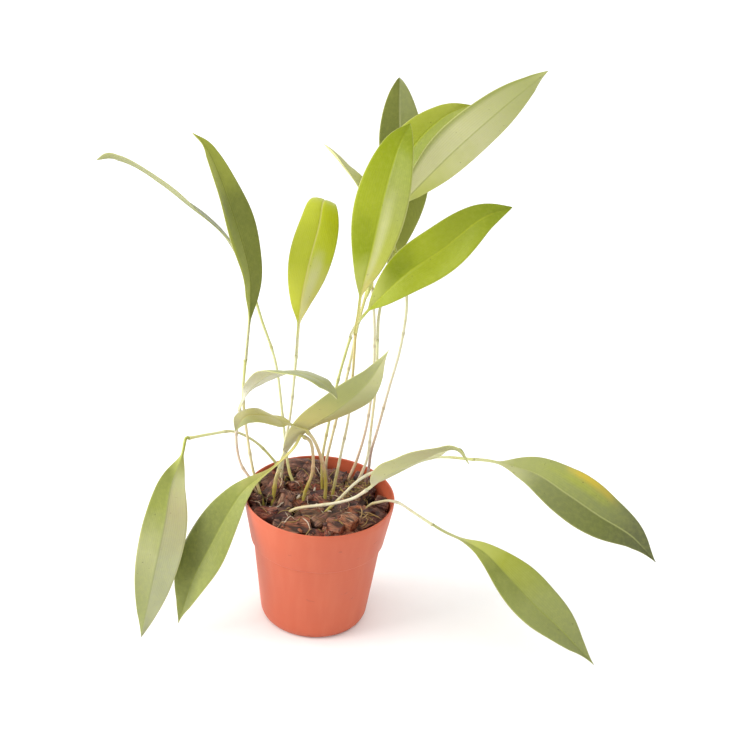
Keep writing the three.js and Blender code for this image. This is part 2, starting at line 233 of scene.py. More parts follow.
# %% Light
sky_strength = 1.08
lamp_aim = Vector((0.0, 0.0, 0.1))
key_place, key_size, key_power = Vector((-1.7, -0.4, 1.15)), 1.4, 36.0
edge_place, edge_size, edge_power = Vector((-1.3, 0.4, 0.4)), 0.5, 5.0

sky = bpy.data.worlds.new("white_room")
sky.use_nodes = True
sky_light = sky.node_tree.nodes["Background"].inputs
sky_light["Color"].default_value = (1.0, 1.0, 1.0, 1.0)
sky_light["Strength"].default_value = sky_strength
bpy.context.scene.world = sky


def add_lamp(name, place, size, power):
    """A square soft lamp that looks at the plant."""
    lamp = bpy.data.objects.new(name, bpy.data.lights.new(name, "AREA"))
    lamp.data.size = size
    lamp.data.energy = power
    lamp.data.color = (1.0, 0.985, 0.965)
    lamp.location = place
    lamp.rotation_euler = (lamp_aim - place).to_track_quat("-Z", "Y").to_euler()
    bpy.context.scene.collection.objects.link(lamp)
    print(name, "stands", round((lamp_aim - place).length, 2), "m from the plant")


add_lamp("key_lamp", key_place, key_size, key_power)
add_lamp("edge_lamp", edge_place, edge_size, edge_power)
bpy.context.scene.view_settings.view_transform = "Standard"

# %% [markdown]
# ## From points to a piece
# Pieces could be modelled by hand in Blender's edit mode. But here each one follows measured places,
# so every piece below is gathered as a list of points and faces in millimetres. Beside each point go
# a few numbers about it, such as how far along a leaf it lies. Blender keeps these on the mesh as
# attributes, and the finish reads them to know where the tip or the midrib is. One function turns
# such a form into a piece: it tidies the faces, hangs the piece under a root empty and hides the CAD
# solids that it stands for.

# %% Form helper
def circle(count):
    """Even steps round a circle, each as its cosine and sine."""
    angles = [2 * math.pi * i / count for i in range(count)]
    return [(math.cos(angle), math.sin(angle)) for angle in angles]


class Form:
    """Points, faces and notes on the points, before they become a mesh."""

    def __init__(self, *note_names):
        self.points = []
        self.faces = []
        self.notes = {name: [] for name in note_names}

    def add(self, place, **notes):
        self.points.append(tuple(place))
        for name, values in self.notes.items():
            values.append(notes[name])
        return len(self.points) - 1

    def skin(self, rings):
        """Faces between neighbouring rings, which all have the same number of points."""
        for near, far in zip(rings, rings[1:]):
            for i in range(len(near)):
                j = (i + 1) % len(near)
                self.faces.append((near[i], near[j], far[j], far[i]))

    def cap(self, ring, middle):
        """Faces that close a ring to one middle point."""
        for i, start in enumerate(ring):
            self.faces.append((start, ring[(i + 1) % len(ring)], middle))


# %% From a form to a piece
def make_piece(name, form, finish, slot, *stands_for):
    mesh = bpy.data.meshes.new(name)
    mesh.from_pydata([Vector(place) * MM for place in form.points], [], form.faces)
    for note, values in form.notes.items():
        if isinstance(values[0], float):
            mesh.attributes.new(note, "FLOAT", "POINT").data.foreach_set("value", values)
        else:
            attribute = mesh.attributes.new(note, "FLOAT_VECTOR", "POINT")
            attribute.data.foreach_set("vector", np.array(values, np.float32).ravel())
    tidy = bmesh.new()
    tidy.from_mesh(mesh)
    bmesh.ops.recalc_face_normals(tidy, faces=tidy.faces)
    tidy.to_mesh(mesh)
    tidy.free()
    mesh.shade_smooth()
    mesh.materials.append(finish.material)
    piece = bpy.data.objects.new(name, mesh)
    bpy.context.scene.collection.objects.link(piece)
    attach(piece, "root")
    if stands_for:
        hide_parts(*stands_for)
    print(name, "has", len(mesh.polygons), "faces")
    return piece


# %% [markdown]
# ## The pot
# A nursery pot is thin plastic, moulded in one piece: a tapered wall, a deeper rim band above a small
# step, a rolled lip and a floor with drain holes. Such a shape is a lathe shape, so its outline is
# drawn once and swept round. The Screw modifier could sweep it. Rings of points do the same, and each
# point can then carry its height for the finish. Where the real plastic turns a corner it is a little
# rounded, so each corner of the outline is cut into a short curve first. A corner is written as its
# radius, its height and its rounding. The outline starts under the floor, goes up the outside, over
# the lip and down the inside.

# %% The pot's outline
pot_sides = 160
corner_steps = 4
corner_share = 0.45
wall = 1.1
pot_outline = [
    (14.0, 0.0, 0.0), (28.8, 0.0, 1.2), (30.8, 0.8, 1.0), (32.4, 4.0, 2.0),
    (38.6, 53.4, 0.5), (40.2, 54.4, 0.6), (44.8, 79.4, 1.0), (45.0, 82.9, 0.6),
    (44.5, 83.4, 0.25), (43.9, 82.9, 0.4), (43.7, 79.4, 1.0), (39.1, 54.4, 0.6),
    (37.5, 52.4, 0.6), (31.3, 4.0, 2.0), (28.8, 1.6, 1.5), (14.0, 1.6, 0.0),
]


def rounded(outline):
    """The outline with every corner that has a rounding turned into a short curve."""
    curve = []
    for i, (radius, height, rounding) in enumerate(outline):
        here = np.array((radius, height))
        if rounding == 0:
            curve.append(here)
            continue
        ends = []
        for neighbour in (outline[i - 1], outline[(i + 1) % len(outline)]):
            way_out = np.array(neighbour[:2]) - here
            reach = min(rounding, corner_share * np.linalg.norm(way_out))
            ends.append(here + way_out / np.linalg.norm(way_out) * reach)
        for share in np.linspace(0, 1, corner_steps + 1):
            curve.append((1 - share) ** 2 * ends[0] + 2 * share * (1 - share) * here + share ** 2 * ends[1])
    return curve


pot_curve = rounded(pot_outline)
print("The outline of the pot has", len(pot_curve), "points")

# %% [markdown]
# The floor of the pot has six round drain holes. The holes could be drawn into the mesh, but it is
# simpler to cut them: a boolean modifier takes six short rods out of the floor. The rods are made
# only for this cut and are thrown away after it.

# %% Shape the pot
drain_hole_count = 6
drain_hole_radius = 3.5
drain_hole_ring = 20.0
drain_hole_sides = 32
rod_length = 4 * wall
sharpest_smooth_corner = math.radians(35)

pot_form = Form("height")
pot_rings = []
for radius, height in pot_curve:
    places = [(radius * x, radius * y, height) for x, y in circle(pot_sides)]
    pot_rings.append([pot_form.add(place, height=float(height)) for place in places])
pot_form.skin(pot_rings)
for ring in (pot_rings[0], pot_rings[-1]):
    height = pot_form.points[ring[0]][2]
    pot_form.cap(ring, pot_form.add((0, 0, height), height=float(height)))

rods = bmesh.new()
for x, y in circle(drain_hole_count):
    middle = Vector((x, y, 0)) * drain_hole_ring * MM
    bmesh.ops.create_cone(
        rods, cap_ends=True, segments=drain_hole_sides, radius1=drain_hole_radius * MM,
        radius2=drain_hole_radius * MM, depth=rod_length * MM, matrix=Matrix.Translation(middle))
rod_mesh = bpy.data.meshes.new("drain_rods")
rods.to_mesh(rod_mesh)
rods.free()
rod_object = bpy.data.objects.new("drain_rods", rod_mesh)
bpy.context.scene.collection.objects.link(rod_object)


def apply_modifiers(piece):
    """Makes what the modifiers show the piece's own mesh."""
    shown = piece.evaluated_get(bpy.context.evaluated_depsgraph_get())
    piece.data = bpy.data.meshes.new_from_object(shown)
    piece.modifiers.clear()


# %% [markdown]
# ## The plastic of the pot
# Terracotta-coloured polypropylene is satin, not glossy, and lets a little light into its surface.
# Moulding leaves faint streaks where the plastic flowed up the wall, a fine grain, and a hairline
# round the body. Handling leaves a few short scuffs. The streaks are noise that is squeezed round the
# pot and stretched along its height. The scuffs are the rare high spots of another noise, so no two
# look alike. A painted picture could show the same, but it would have to be fitted round the pot, and
# noise needs no fitting.

# %% Pot finish
hairline_height = 44.5

plastic = Finish("terracotta_plastic")
flow_streaks = plastic.noise(plastic.place((1.0, 1.0, 0.12)), 160.0, 3.0)
blotches = plastic.noise(plastic.place(), 26.0, 2.0)
fine_grain = plastic.noise(plastic.place(), 2600.0, 2.0)
scuff_shape = plastic.noise(plastic.place((1.0, 1.0, 2.6)), 105.0, 4.0, 0.62)
scuffs = plastic.spread(scuff_shape, 0.665, 0.70)
pot_height = plastic.number("height")
off_hairline = plastic.maths("ABSOLUTE", plastic.maths("SUBTRACT", pot_height, hairline_height))
hairline = plastic.spread(off_hairline, 0.35, 0.0)

plastic_tone = plastic.mix(blotches, colour(212, 97, 63), colour(226, 113, 77))
streak_share = plastic.spread(flow_streaks, 0.35, 0.75, 0.0, 0.22)
plastic_tone = plastic.mix(streak_share, plastic_tone, colour(234, 130, 94))
# Painted shade: the lowest six millimetres of the pot are darkened as the shade close to the floor.
painted_foot_shade = plastic.spread(pot_height, 0.0, 6.0, 0.25, 0.0)
plastic_tone = plastic.mix(painted_foot_shade, plastic_tone, colour(190, 88, 62))
plastic_tone = plastic.mix(plastic.maths("MULTIPLY", scuffs, 0.35), plastic_tone, colour(168, 84, 62))
plastic.feed(plastic.surface["Base Color"], plastic_tone)
plastic.feed(plastic.surface["Roughness"], plastic.spread(blotches, 0.3, 0.7, 0.42, 0.54))
plastic.feed(plastic.surface["Subsurface Weight"], 0.12)
plastic.feed(plastic.surface["Subsurface Radius"], (0.004, 0.0015, 0.0008))
plastic.feed(plastic.surface["Specular IOR Level"], 0.4)
plastic_relief = plastic.bump(fine_grain, 0.00004, 0.35)
plastic_relief = plastic.bump(flow_streaks, 0.0002, 0.25, plastic_relief)
plastic_relief = plastic.bump(hairline, 0.0001, 0.35, plastic_relief)
plastic_relief = plastic.bump(scuffs, 0.00008, 0.8, plastic_relief)
plastic.feed(plastic.surface["Normal"], plastic_relief)

pot = make_piece("nursery_pot", pot_form, plastic, "pot", "pot")
cut = pot.modifiers.new("drain_holes", "BOOLEAN")
cut.operation = "DIFFERENCE"
cut.object = rod_object
apply_modifiers(pot)
bpy.data.objects.remove(rod_object)
pot.data.set_sharp_from_angle(angle=sharpest_smooth_corner)
pot_size = [round(side / MM, 1) for side in pot.dimensions]
print("The pot is", pot_size[2], "mm high and", pot_size[0], "mm wide")

# %% [markdown]
# ## The room inside the pot
# Everything in the bark has to stay inside the pot. The next helper gives the radius that is free at
# a height, a small gap away from the wall, and keeps any place within it.

# %% The pot's free room
gap = 0.3
bark_level = 68.0
bark_room_top = 84.0
room_heights = [1.9, 4.3, 52.4, 54.7, 79.4, 83.4]
room_radii = [28.5, 31.0, 37.2, 38.8, 43.4, 43.5]


def free_radius(height):
    return float(np.interp(height, room_heights, room_radii)) - gap


def kept_inside(places):
    """Moves places that are outside the pot's room back to its edge."""
    places[:, 2] = np.minimum(places[:, 2], bark_room_top)
    allowed = np.interp(places[:, 2], room_heights, room_radii) - gap
    reach = np.hypot(places[:, 0], places[:, 1])
    share = np.minimum(1.0, allowed / np.maximum(reach, 0.001))
    places[:, :2] *= share[:, None]
    return places


print("At the bark's level the pot leaves a free radius of", round(free_radius(bark_level), 1), "mm")

# %% [markdown]
# ## The bark
# Orchid bark is broken pine bark: thick plates with torn sides, split across their thickness in thin
# layers. A pile of them could be dropped into the pot with a simulation, but then no chip would lie
# where the CAD model has it. The CAD bark has fifty-four plain chips with a random turn and size
# each. The same seed and the same draws give the same chips here. Each one is then made finer. It
# starts as a unit block with a grid on every side, its eight corners are pulled as in the CAD, its
# edges are rounded, and noise roughens it. The grid is made once and used for every chip.

# %% A block with a fine grid
def gridded_block(cuts):
    """Points between -0.5 and 0.5 and faces of a cube with a grid on each side."""
    block = bmesh.new()
    bmesh.ops.create_cube(block, size=1.0)
    bmesh.ops.subdivide_edges(block, edges=block.edges, cuts=cuts, use_grid_fill=True)
    block.verts.ensure_lookup_table()
    points = np.array([corner.co for corner in block.verts])
    faces = [tuple(corner.index for corner in face.verts) for face in block.faces]
    block.free()
    return points, faces


large_block = gridded_block(16)
middle_block = gridded_block(8)
small_block = gridded_block(2)
print("A large chip starts with", len(large_block[0]), "points and a crumb with", len(small_block[0]))

# %% Shape one chip
edge_rounding = 0.11
ridge_height = 0.55
ridge_stretch = (0.09, 0.42, 0.3)
lump_height = 0.75
lump_size = 5.5
layer_depth = 0.6
layer_spacing = 0.9


def add_chip(form, block, middle, size, corners, turn, tint, coarseness=1.0):
    """One chip: pulls the block's corners, rounds its edges, and splits it in fibres and layers."""
    points, faces = block
    cube = points * 2
    softened = points * (1 - edge_rounding * (np.sum(cube ** 6, axis=1, keepdims=True) - 1) / 2)
    shares = points + 0.5
    pulled = np.zeros_like(points)
    for i, corner in enumerate(corners):
        high = np.array([(i >> 2) & 1, (i >> 1) & 1, i & 1])
        weight = np.prod(np.where(high == 1, shares, 1 - shares), axis=1, keepdims=True)
        pulled += weight * np.array(corner)
    local = softened * pulled * np.array(size)
    offset = Vector((tint * 91.0, tint * 37.0, middle[0] * 5.3))
    facing = cube ** 5
    facing /= np.linalg.norm(facing, axis=1, keepdims=True)
    rough = np.zeros_like(local)
    swell = np.zeros(len(local))
    for i, place in enumerate(local):
        spot = Vector(place) / coarseness + offset
        ridge = noise.noise(spot * Vector(ridge_stretch))
        lump = noise.noise(spot / lump_size)
        swell[i] = ridge * ridge_height + lump * lump_height
        sheet = noise.noise(Vector((spot.x / 9, spot.y / 9, spot.z / layer_spacing)))
        side = max(abs(cube[i][0]), abs(cube[i][1])) ** 4
        outward = np.array((cube[i][0], cube[i][1], 0.0))
        rough[i] = facing[i] * swell[i] + outward * sheet * layer_depth * side
    placed = (local + rough * coarseness) @ np.array(turn.to_matrix()).T + np.array(middle)
    placed = kept_inside(placed)
    first = len(form.points)
    edge = np.sort(np.abs(cube), axis=1)[:, 1]
    for place, spot, worn, height in zip(placed, local, edge, swell):
        grain = tuple(Vector(spot) + offset)
        form.add(place, tint=tint, worn=float(worn), swell=float(height), grain=grain)
    form.faces.extend(tuple(first + corner for corner in face) for face in faces)


print("Noise moves the skin of a large chip by up to", ridge_height + lump_height + layer_depth, "mm")

# %% [markdown]
# The seeded numbers come from a small generator that gives the same run in any language: each number
# is the last one times a large factor, plus a large step, kept below two to the power thirty-two. The
# order of the draws matters, so every chip draws its turn, its corners, its size, its tilt and its
# height in that order.

# %% Seeded numbers
draw_factor, draw_step, draw_limit = 1664525, 1013904223, 2 ** 32


class Draws:
    """A seeded row of random numbers."""

    def __init__(self, seed):
        self.state = seed

    def pick(self, least, most):
        self.state = (self.state * draw_factor + draw_step) % draw_limit
        return least + (most - least) * self.state / draw_limit

    def corners(self, least, most):
        """How far each of a chip's eight corners is pulled along each axis."""
        return [[self.pick(least, most) for axis in range(3)] for corner in range(8)]

    def spot(self, reach):
        """A place in a disc, where every part of the disc has the same chance."""
        radius = reach * math.sqrt(self.pick(0, 1))
        angle = self.pick(0, 2 * math.pi)
        return radius * math.cos(angle), radius * math.sin(angle)


print("The row of numbers repeats only after", draw_limit, "draws")

# %% The chips of the CAD model
bark_seed = 7
chip_count = 54
chip_reach = 38.0
heap_middle = (-16.0, 38.0)
heap_rise = 8.0
heap_spread = 22.0
tint_step = 0.618
tint_range = 0.7
chip_stretch = (0.7, 1.2)
chip_lengths, chip_widths, chip_thicknesses = (9.8, 18.8), (6.5, 12.5), (3, 6.5)
chip_pitches, chip_rolls = (-0.55, 0.55), (-0.4, 0.4)
chip_rises = (1.5, 4.5)


def chip_height(x, y):
    """The bark heaps up against the back of the pot."""
    away = math.hypot(x - heap_middle[0], y - heap_middle[1]) / heap_spread
    return bark_level + heap_rise * math.exp(-away * away)


def chip_turn(heading, pitch, roll):
    """The turn of a chip that is rolled first, then tilted, then headed."""
    turn = Matrix.Rotation(heading, 3, "Z") @ Matrix.Rotation(pitch, 3, "X")
    return (turn @ Matrix.Rotation(roll, 3, "Y")).to_quaternion()


bark_form = Form("tint", "worn", "swell", "grain")
draws = Draws(bark_seed)
golden_angle = math.pi * (3 - math.sqrt(5))
for i in range(chip_count):
    radius = chip_reach * math.sqrt((i + 0.5) / chip_count)
    angle = i * golden_angle + draws.pick(0, 0.5)
    x, y = radius * math.cos(angle), radius * math.sin(angle)
    corners = draws.corners(*chip_stretch)
    size = [draws.pick(*extent) for extent in (chip_lengths, chip_widths, chip_thicknesses)]
    pitch, roll, heading = draws.pick(*chip_pitches), draws.pick(*chip_rolls), draws.pick(0, math.pi)
    middle = (x, y, chip_height(x, y) + draws.pick(*chip_rises))
    tint = float((i * tint_step) % tint_range)
    add_chip(bark_form, middle_block, middle, size, corners, chip_turn(heading, pitch, roll), tint)
print(chip_count, "seeded chips have", len(bark_form.faces), "faces")

# %% [markdown]
# The photograph shows some chips that catch the eye: a large purple-brown plate that leans on the
# back of the pot, pinkish ones at the left, a fibrous one at the front rim, a grey wedge and a tan
# chip that stands on its edge at the front right. They are laid on the others one by one. Each line
# gives the middle, the size, the heading, pitch and roll in degrees, and the tint, which picks the
# colour from dark purple at 0 to orange at 1.

# %% The chips that catch the eye
hand_seed = 21
hand_stretch = (0.78, 1.16)
eye_catching_chips = [
    ((-11, 33, 76.5), (20, 19, 5), (4, 50, 0), 0.16),
    ((-8, 22, 74), (17, 12, 5), (-6, 34, 4), 0.05),
    ((-1, 11, 73), (14, 11, 5), (8, 14, 0), 0.0),
    ((-24, 35, 78), (13, 11, 5), (25, 48, 0), 0.30),
    ((-33, 21, 77), (12, 9, 6), (50, 30, 0), 0.12),
    ((-28, 12, 76.5), (17, 9, 7), (64, 10, -15), 0.24),
    ((-20, 3, 75.5), (14, 9, 6), (80, 15, -10), 0.28),
    ((-38, 6, 74), (12, 9, 6), (70, -6, 14), 0.04),
    ((-31, -12, 74), (15, 10, 6), (-18, 18, -6), 0.50),
    ((-21, -12, 74.5), (11, 9, 5), (14, 16, 0), 0.02),
    ((-12, -22, 73.5), (19, 11, 7), (6, 26, 0), 0.66),
    ((-4, -8, 75), (14, 10, 5), (22, 20, 5), 0.40),
    ((5, -14, 75), (19, 8, 8), (42, 32, -8), 0.33),
    ((10.5, -21, 73.5), (12, 10, 8), (-14, 20, 0), 0.64),
    ((18, -18, 75), (10, 9, 14), (-25, -8, 14), 0.84),
    ((22, -5, 76), (8, 6, 5), (24, 18, 0), 0.97),
    ((15, 5, 73.5), (17, 10, 5), (-12, 12, 0), 0.10),
    ((32, -4, 73), (16, 13, 7), (58, 14, 6), 0.04),
    ((26, -13, 72.5), (12, 9, 6), (30, 18, -8), 0.36),
    ((37, 10, 74), (11, 8, 5), (82, 8, 12), 0.08),
    ((21, 20, 75), (16, 11, 6), (-35, 16, 0), 0.34),
    ((9, 31, 75), (15, 12, 6), (-18, 36, 0), 0.20),
    ((25, 31, 75), (13, 9, 5), (-42, 34, 0), 0.02),
]
hand_draws = Draws(hand_seed)
for middle, size, angles, tint in eye_catching_chips:
    heading, pitch, roll = (math.radians(angle) for angle in angles)
    corners = hand_draws.corners(*hand_stretch)
    add_chip(bark_form, large_block, middle, size, corners, chip_turn(heading, pitch, roll), tint)
print("The chips laid by hand bring the bark to", len(bark_form.faces), "faces")

# %% [markdown]
# Below the chips lies the rest of the mix, which fills the pot down to its floor. Nothing of its
# inside shows, so single chips would be wasted there. It is one lathe body with a bumpy top, and its
# bottom shows through the drain holes. Its top is painted dark as the shade deep between the chips.

# %% Fill the pot under the chips
core_sides = 72
core_rings = 26
core_bumps = 1.6
bump_size = 5.0
core_levels = (60.0, 54.7, 52.4, 28.0, 4.3, 1.9)
# The swell of -0.3 gives the loose mix the painted shade of the bark's hollows.
core_notes = {"tint": 0.02, "worn": 0.5, "swell": -0.3}


def core_top(x, y):
    """The height of the loose mix between the chips."""
    return bark_level + core_bumps * noise.noise(Vector((x, y, 0)) / bump_size)


def add_core_ring(radius, height_of):
    ring = []
    for x, y in circle(core_sides):
        place = (radius * x, radius * y, height_of(radius * x, radius * y))
        ring.append(bark_form.add(place, grain=place, **core_notes))
    return ring


top_radius = free_radius(bark_level)
rings = [add_core_ring(top_radius * (i + 1) / core_rings, core_top) for i in range(core_rings)]
for height in core_levels:
    rings.append(add_core_ring(free_radius(height), lambda x, y, level=height: level))
bark_form.skin(rings)
for ring, height in ((rings[0], bark_level), (rings[-1], core_levels[-1])):
    place = (0.0, 0.0, height)
    bark_form.cap(ring, bark_form.add(place, grain=place, **core_notes))
print("With the loose mix the bark has", len(bark_form.faces), "faces")

# %% [markdown]
# Crumbs of bark fill the spaces between the chips. A crumb has to lie on what is under it, so a ray
# is sent straight down from above the pot, and the crumb is put where it first meets the bark. Crumbs
# at one fixed height would float over the gaps. The tree of faces that answers such rays is made
# once, and later also serves the rootlets and the moss.

# %% Scatter crumbs
crumb_seed = 99
crumb_count = 200
crumb_lengths = (0.9, 3.6)
crumb_width_shares, crumb_thickness_shares = (0.4, 0.8), (0.2, 0.5)
crumb_stretch = (0.6, 1.3)
crumb_darkness = 1.6
crumb_margin = 1.5
crumb_sinking = 0.2
crumb_coarseness = 0.3
ray_start = 95.0
bark_tree = BVHTree.FromPolygons([Vector(place) for place in bark_form.points], bark_form.faces)


def bark_surface(x, y):
    """The place on top of the bark at x and y, and the way the bark faces there."""
    place, facing, face, distance = bark_tree.ray_cast(Vector((x, y, ray_start)), Vector((0, 0, -1)))
    if place is None:
        return Vector((x, y, bark_level)), Vector((0, 0, 1))
    return place, facing


crumb_draws = Draws(crumb_seed)
for _ in range(crumb_count):
    spot, facing = bark_surface(*crumb_draws.spot(free_radius(bark_level) - crumb_margin))
    length = crumb_draws.pick(*crumb_lengths)
    width = length * crumb_draws.pick(*crumb_width_shares)
    size = (length, width, length * crumb_draws.pick(*crumb_thickness_shares))
    corners = crumb_draws.corners(*crumb_stretch)
    turn = facing.to_track_quat("Z", "X") @ Euler((0, 0, crumb_draws.pick(0, math.pi))).to_quaternion()
    tint = crumb_draws.pick(0, 1) ** crumb_darkness
    middle = spot + facing * size[2] * crumb_sinking
    add_chip(bark_form, small_block, middle, size, corners, turn, tint, crumb_coarseness)
print("With", crumb_count, "crumbs the bark has", len(bark_form.faces), "faces")

# %% [markdown]
# ## The look of bark
# A chip has fibres that run along it and thin layers that show on its torn sides. Photographed bark
# would repeat from chip to chip. So the fibres are noise in the chip's own place, squeezed across and
# stretched along, and they turn with each chip. A ramp from purple-brown over red-brown and grey-brown
# to tan gives each chip its own tint. The hollows of a chip are painted dark as shade. Worn edges
# come out paler as wear, and the tops of the ridges paler as a painted highlight. Bark that was
# watered shines in places, so the roughness varies too.

# %% Bark finish
bark = Finish("orchid_bark")
chip_place = bark.direction("grain")
fibre_place = bark.node("Mapping", {"Vector": chip_place, "Scale": (0.12, 1.0, 0.7)}).outputs["Vector"]
layer_place = bark.node("Mapping", {"Vector": chip_place, "Scale": (0.08, 0.08, 1.6)}).outputs["Vector"]
fibres = bark.noise(fibre_place, 1.7, 4.0, 0.65)
layers = bark.noise(layer_place, 1.0, 2.0)
patches = bark.noise(chip_place, 0.35, 3.0, 0.6)
pores = bark.noise(chip_place, 2.2, 3.0, 0.7)
tint_here = bark.maths("ADD", bark.number("tint"), bark.spread(patches, 0.3, 0.7, -0.07, 0.07))
chip_tone = bark.ramp(tint_here, [
    (0.0, colour(108, 58, 54)),
    (0.12, colour(132, 80, 64)),
    (0.26, colour(186, 120, 98)),
    (0.36, colour(170, 126, 88)),
    (0.50, colour(184, 84, 62)),
    (0.66, colour(190, 110, 70)),
    (0.84, colour(206, 138, 94)),
    (1.0, colour(214, 116, 64)),
])
chip_tone = bark.mix(bark.spread(fibres, 0.36, 0.6, 0.85, 0.0), chip_tone, colour(46, 26, 24))
chip_tone = bark.mix(bark.spread(layers, 0.5, 0.7, 0.0, 0.35), chip_tone, colour(184, 142, 112))
chip_tone = bark.mix(bark.spread(pores, 0.6, 0.75, 0.0, 0.5), chip_tone, colour(44, 28, 26))
swell = bark.number("swell")
# Painted shade: where the noise pushed the skin in, and on the loose mix below, the bark is darkened as if
# shaded.
chip_tone = bark.mix(bark.spread(swell, 0.05, -0.35, 0.0, 0.8), chip_tone, colour(40, 24, 22))
# Worn chip edges come out paler as real wear, and the tops of the ridges paler as a painted highlight.
raised = bark.spread(swell, 0.1, 0.5)
wear_and_painted_highlight = bark.maths("ADD", bark.spread(bark.number("worn"), 0.86, 1.0), raised)
wear_and_painted_highlight = bark.maths("MULTIPLY", wear_and_painted_highlight, bark.spread(fibres, 0.48, 0.68, 0.0, 0.65))
chip_tone = bark.mix(wear_and_painted_highlight, chip_tone, colour(232, 190, 156))
bark.feed(bark.surface["Base Color"], chip_tone)
bark.feed(bark.surface["Roughness"], bark.spread(patches, 0.35, 0.65, 0.32, 0.7))
bark.feed(bark.surface["Specular IOR Level"], 0.5)
bark_relief = bark.bump(fibres, 0.0009, 0.9)
bark_relief = bark.bump(pores, 0.0004, 0.6, bark_relief)
bark.feed(bark.surface["Normal"], bark_relief)
make_piece("bark_chips", bark_form, bark, "bark", "bark_mix")

# %% [markdown]
# ## Rootlets, moss and needles
# Between the chips lie thin pale roots, a few short thick white bits, dry fibres of moss
# and a few dark needles. All of these are threads: round, thin, pointed at both ends. Blender's hair
# curves could draw them, but thin tubes are true meshes, and those can leave Blender with the rest of
# the plant. One function makes a thread through a row of places. Another finds such a row by walking
# over the bark and asking for its surface at every step. Heights are evened out along the row,
# because a root bridges the gap between two chips.

# %% Threads
thread_sides = 5
thread_steps = 12
thread_pointing = 0.85
evening_rounds = 3
thread_form = Form("tint", "along")


def add_thread(places, thickness, tint):
    rings = []
    last = len(places) - 1
    for i, place in enumerate(places):
        way = (places[min(i + 1, last)] - places[max(i - 1, 0)]).to_track_quat("Z", "X")
        radius = thickness / 2 * (1 - thread_pointing * abs(2 * i / last - 1) ** 5)
        places_round = [place + way @ Vector((x, y, 0)) * radius for x, y in circle(thread_sides)]
        rings.append([thread_form.add(spot, tint=tint, along=i / last) for spot in places_round])
    thread_form.skin(rings)
    for ring, place, along in ((rings[0], places[0], 0.0), (rings[-1], places[-1], 1.0)):
        thread_form.cap(ring, thread_form.add(place, tint=tint, along=along))


def walk_on_bark(x, y, heading, length, curl, lift):
    """Places over the bark from x and y on, for a thread that lies on it."""
    places = []
    for step in range(thread_steps + 1):
        places.append(bark_surface(x, y)[0])
        heading += curl / thread_steps
        x += math.cos(heading) * length / thread_steps
        y += math.sin(heading) * length / thread_steps
    heights = np.array([place.z for place in places])
    for _ in range(evening_rounds):
        padded = np.pad(heights, 1, mode="edge")
        heights = np.maximum(heights, (padded[:-2] + padded[2:]) / 2)
    raised = [(place.x, place.y, height + lift) for place, height in zip(places, heights)]
    return [Vector(place) for place in kept_inside(np.array(raised))]


print("A thread has", thread_sides * thread_steps, "faces along it and", 2 * thread_sides, "at its ends")

# %% [markdown]
# Most rootlets are scattered with seeded numbers. The few that show clearly in the photograph get a
# line each: x, y, heading and length in millimetres and degrees, the bend over the whole length,
# thickness and tint. The tint picks the colour again: 0 is a dark needle, 0.4 dry moss, 0.7 a
# straw-coloured root, 1 white.

# %% Lay the rootlets
thread_seed = 5
scattered_rootlets = 60
rootlet_bend = 2.5
rootlet_lengths, rootlet_thicknesses, rootlet_tints = (5, 15), (0.35, 0.75), (0.45, 0.95)
lying_height = 0.4
clear_rootlets = [
    (-42, 1, -30, 13, 40, 0.9, 0.90),
    (-38, -6, 10, 11, -50, 0.8, 0.97),
    (-29, -5, -20, 9, 70, 0.9, 0.95),
    (-6, -15, -60, 8, 150, 1.0, 1.00),
    (-9, -20, -20, 9, -60, 0.7, 0.92),
    (-14, -18, 200, 9, 60, 0.6, 0.90),
    (-17, -23, 170, 8, 30, 0.6, 0.85),
    (-25, 10, 60, 12, 60, 0.7, 0.82),
    (-22, 6, 100, 9, -70, 0.6, 0.86),
    (-14, 5, 50, 4, 20, 1.6, 1.00),
    (-4, 14, 80, 4, 10, 1.4, 0.98),
    (-38, 14, 60, 16, 20, 0.9, 0.08),
    (-41, 8, 50, 14, 30, 0.8, 0.14),
    (-40, 3, 20, 15, -30, 0.8, 0.20),
    (20, 18, 150, 6, 50, 1.2, 0.62),
    (27, -8, 30, 11, -60, 0.8, 0.70),
    (25, -12, 60, 9, 60, 0.7, 0.74),
    (30, 4, 80, 10, 40, 0.8, 0.66),
]
for x, y, heading, length, bend, thickness, tint in clear_rootlets:
    lift = thickness * lying_height
    places = walk_on_bark(x, y, math.radians(heading), length, math.radians(bend), lift)
    add_thread(places, thickness, tint)

thread_draws = Draws(thread_seed)
for _ in range(scattered_rootlets):
    x, y = thread_draws.spot(chip_reach)
    heading = thread_draws.pick(0, 2 * math.pi)
    bend = thread_draws.pick(-rootlet_bend, rootlet_bend)
    thickness = thread_draws.pick(*rootlet_thicknesses)
    length = thread_draws.pick(*rootlet_lengths)
    places = walk_on_bark(x, y, heading, length, bend, thickness * lying_height)
    add_thread(places, thickness, thread_draws.pick(*rootlet_tints))
print("Rootlets bring", len(thread_form.faces), "faces")

# %% [markdown]
# Moss grows in a few tufts between the chips, most of them at the back right. A tuft is many short
# fibres that stand up from the bark, lean a little to all sides and bend over at the top. Each tuft
# is written as the x and y of its middle, its reach and how many fibres it has.

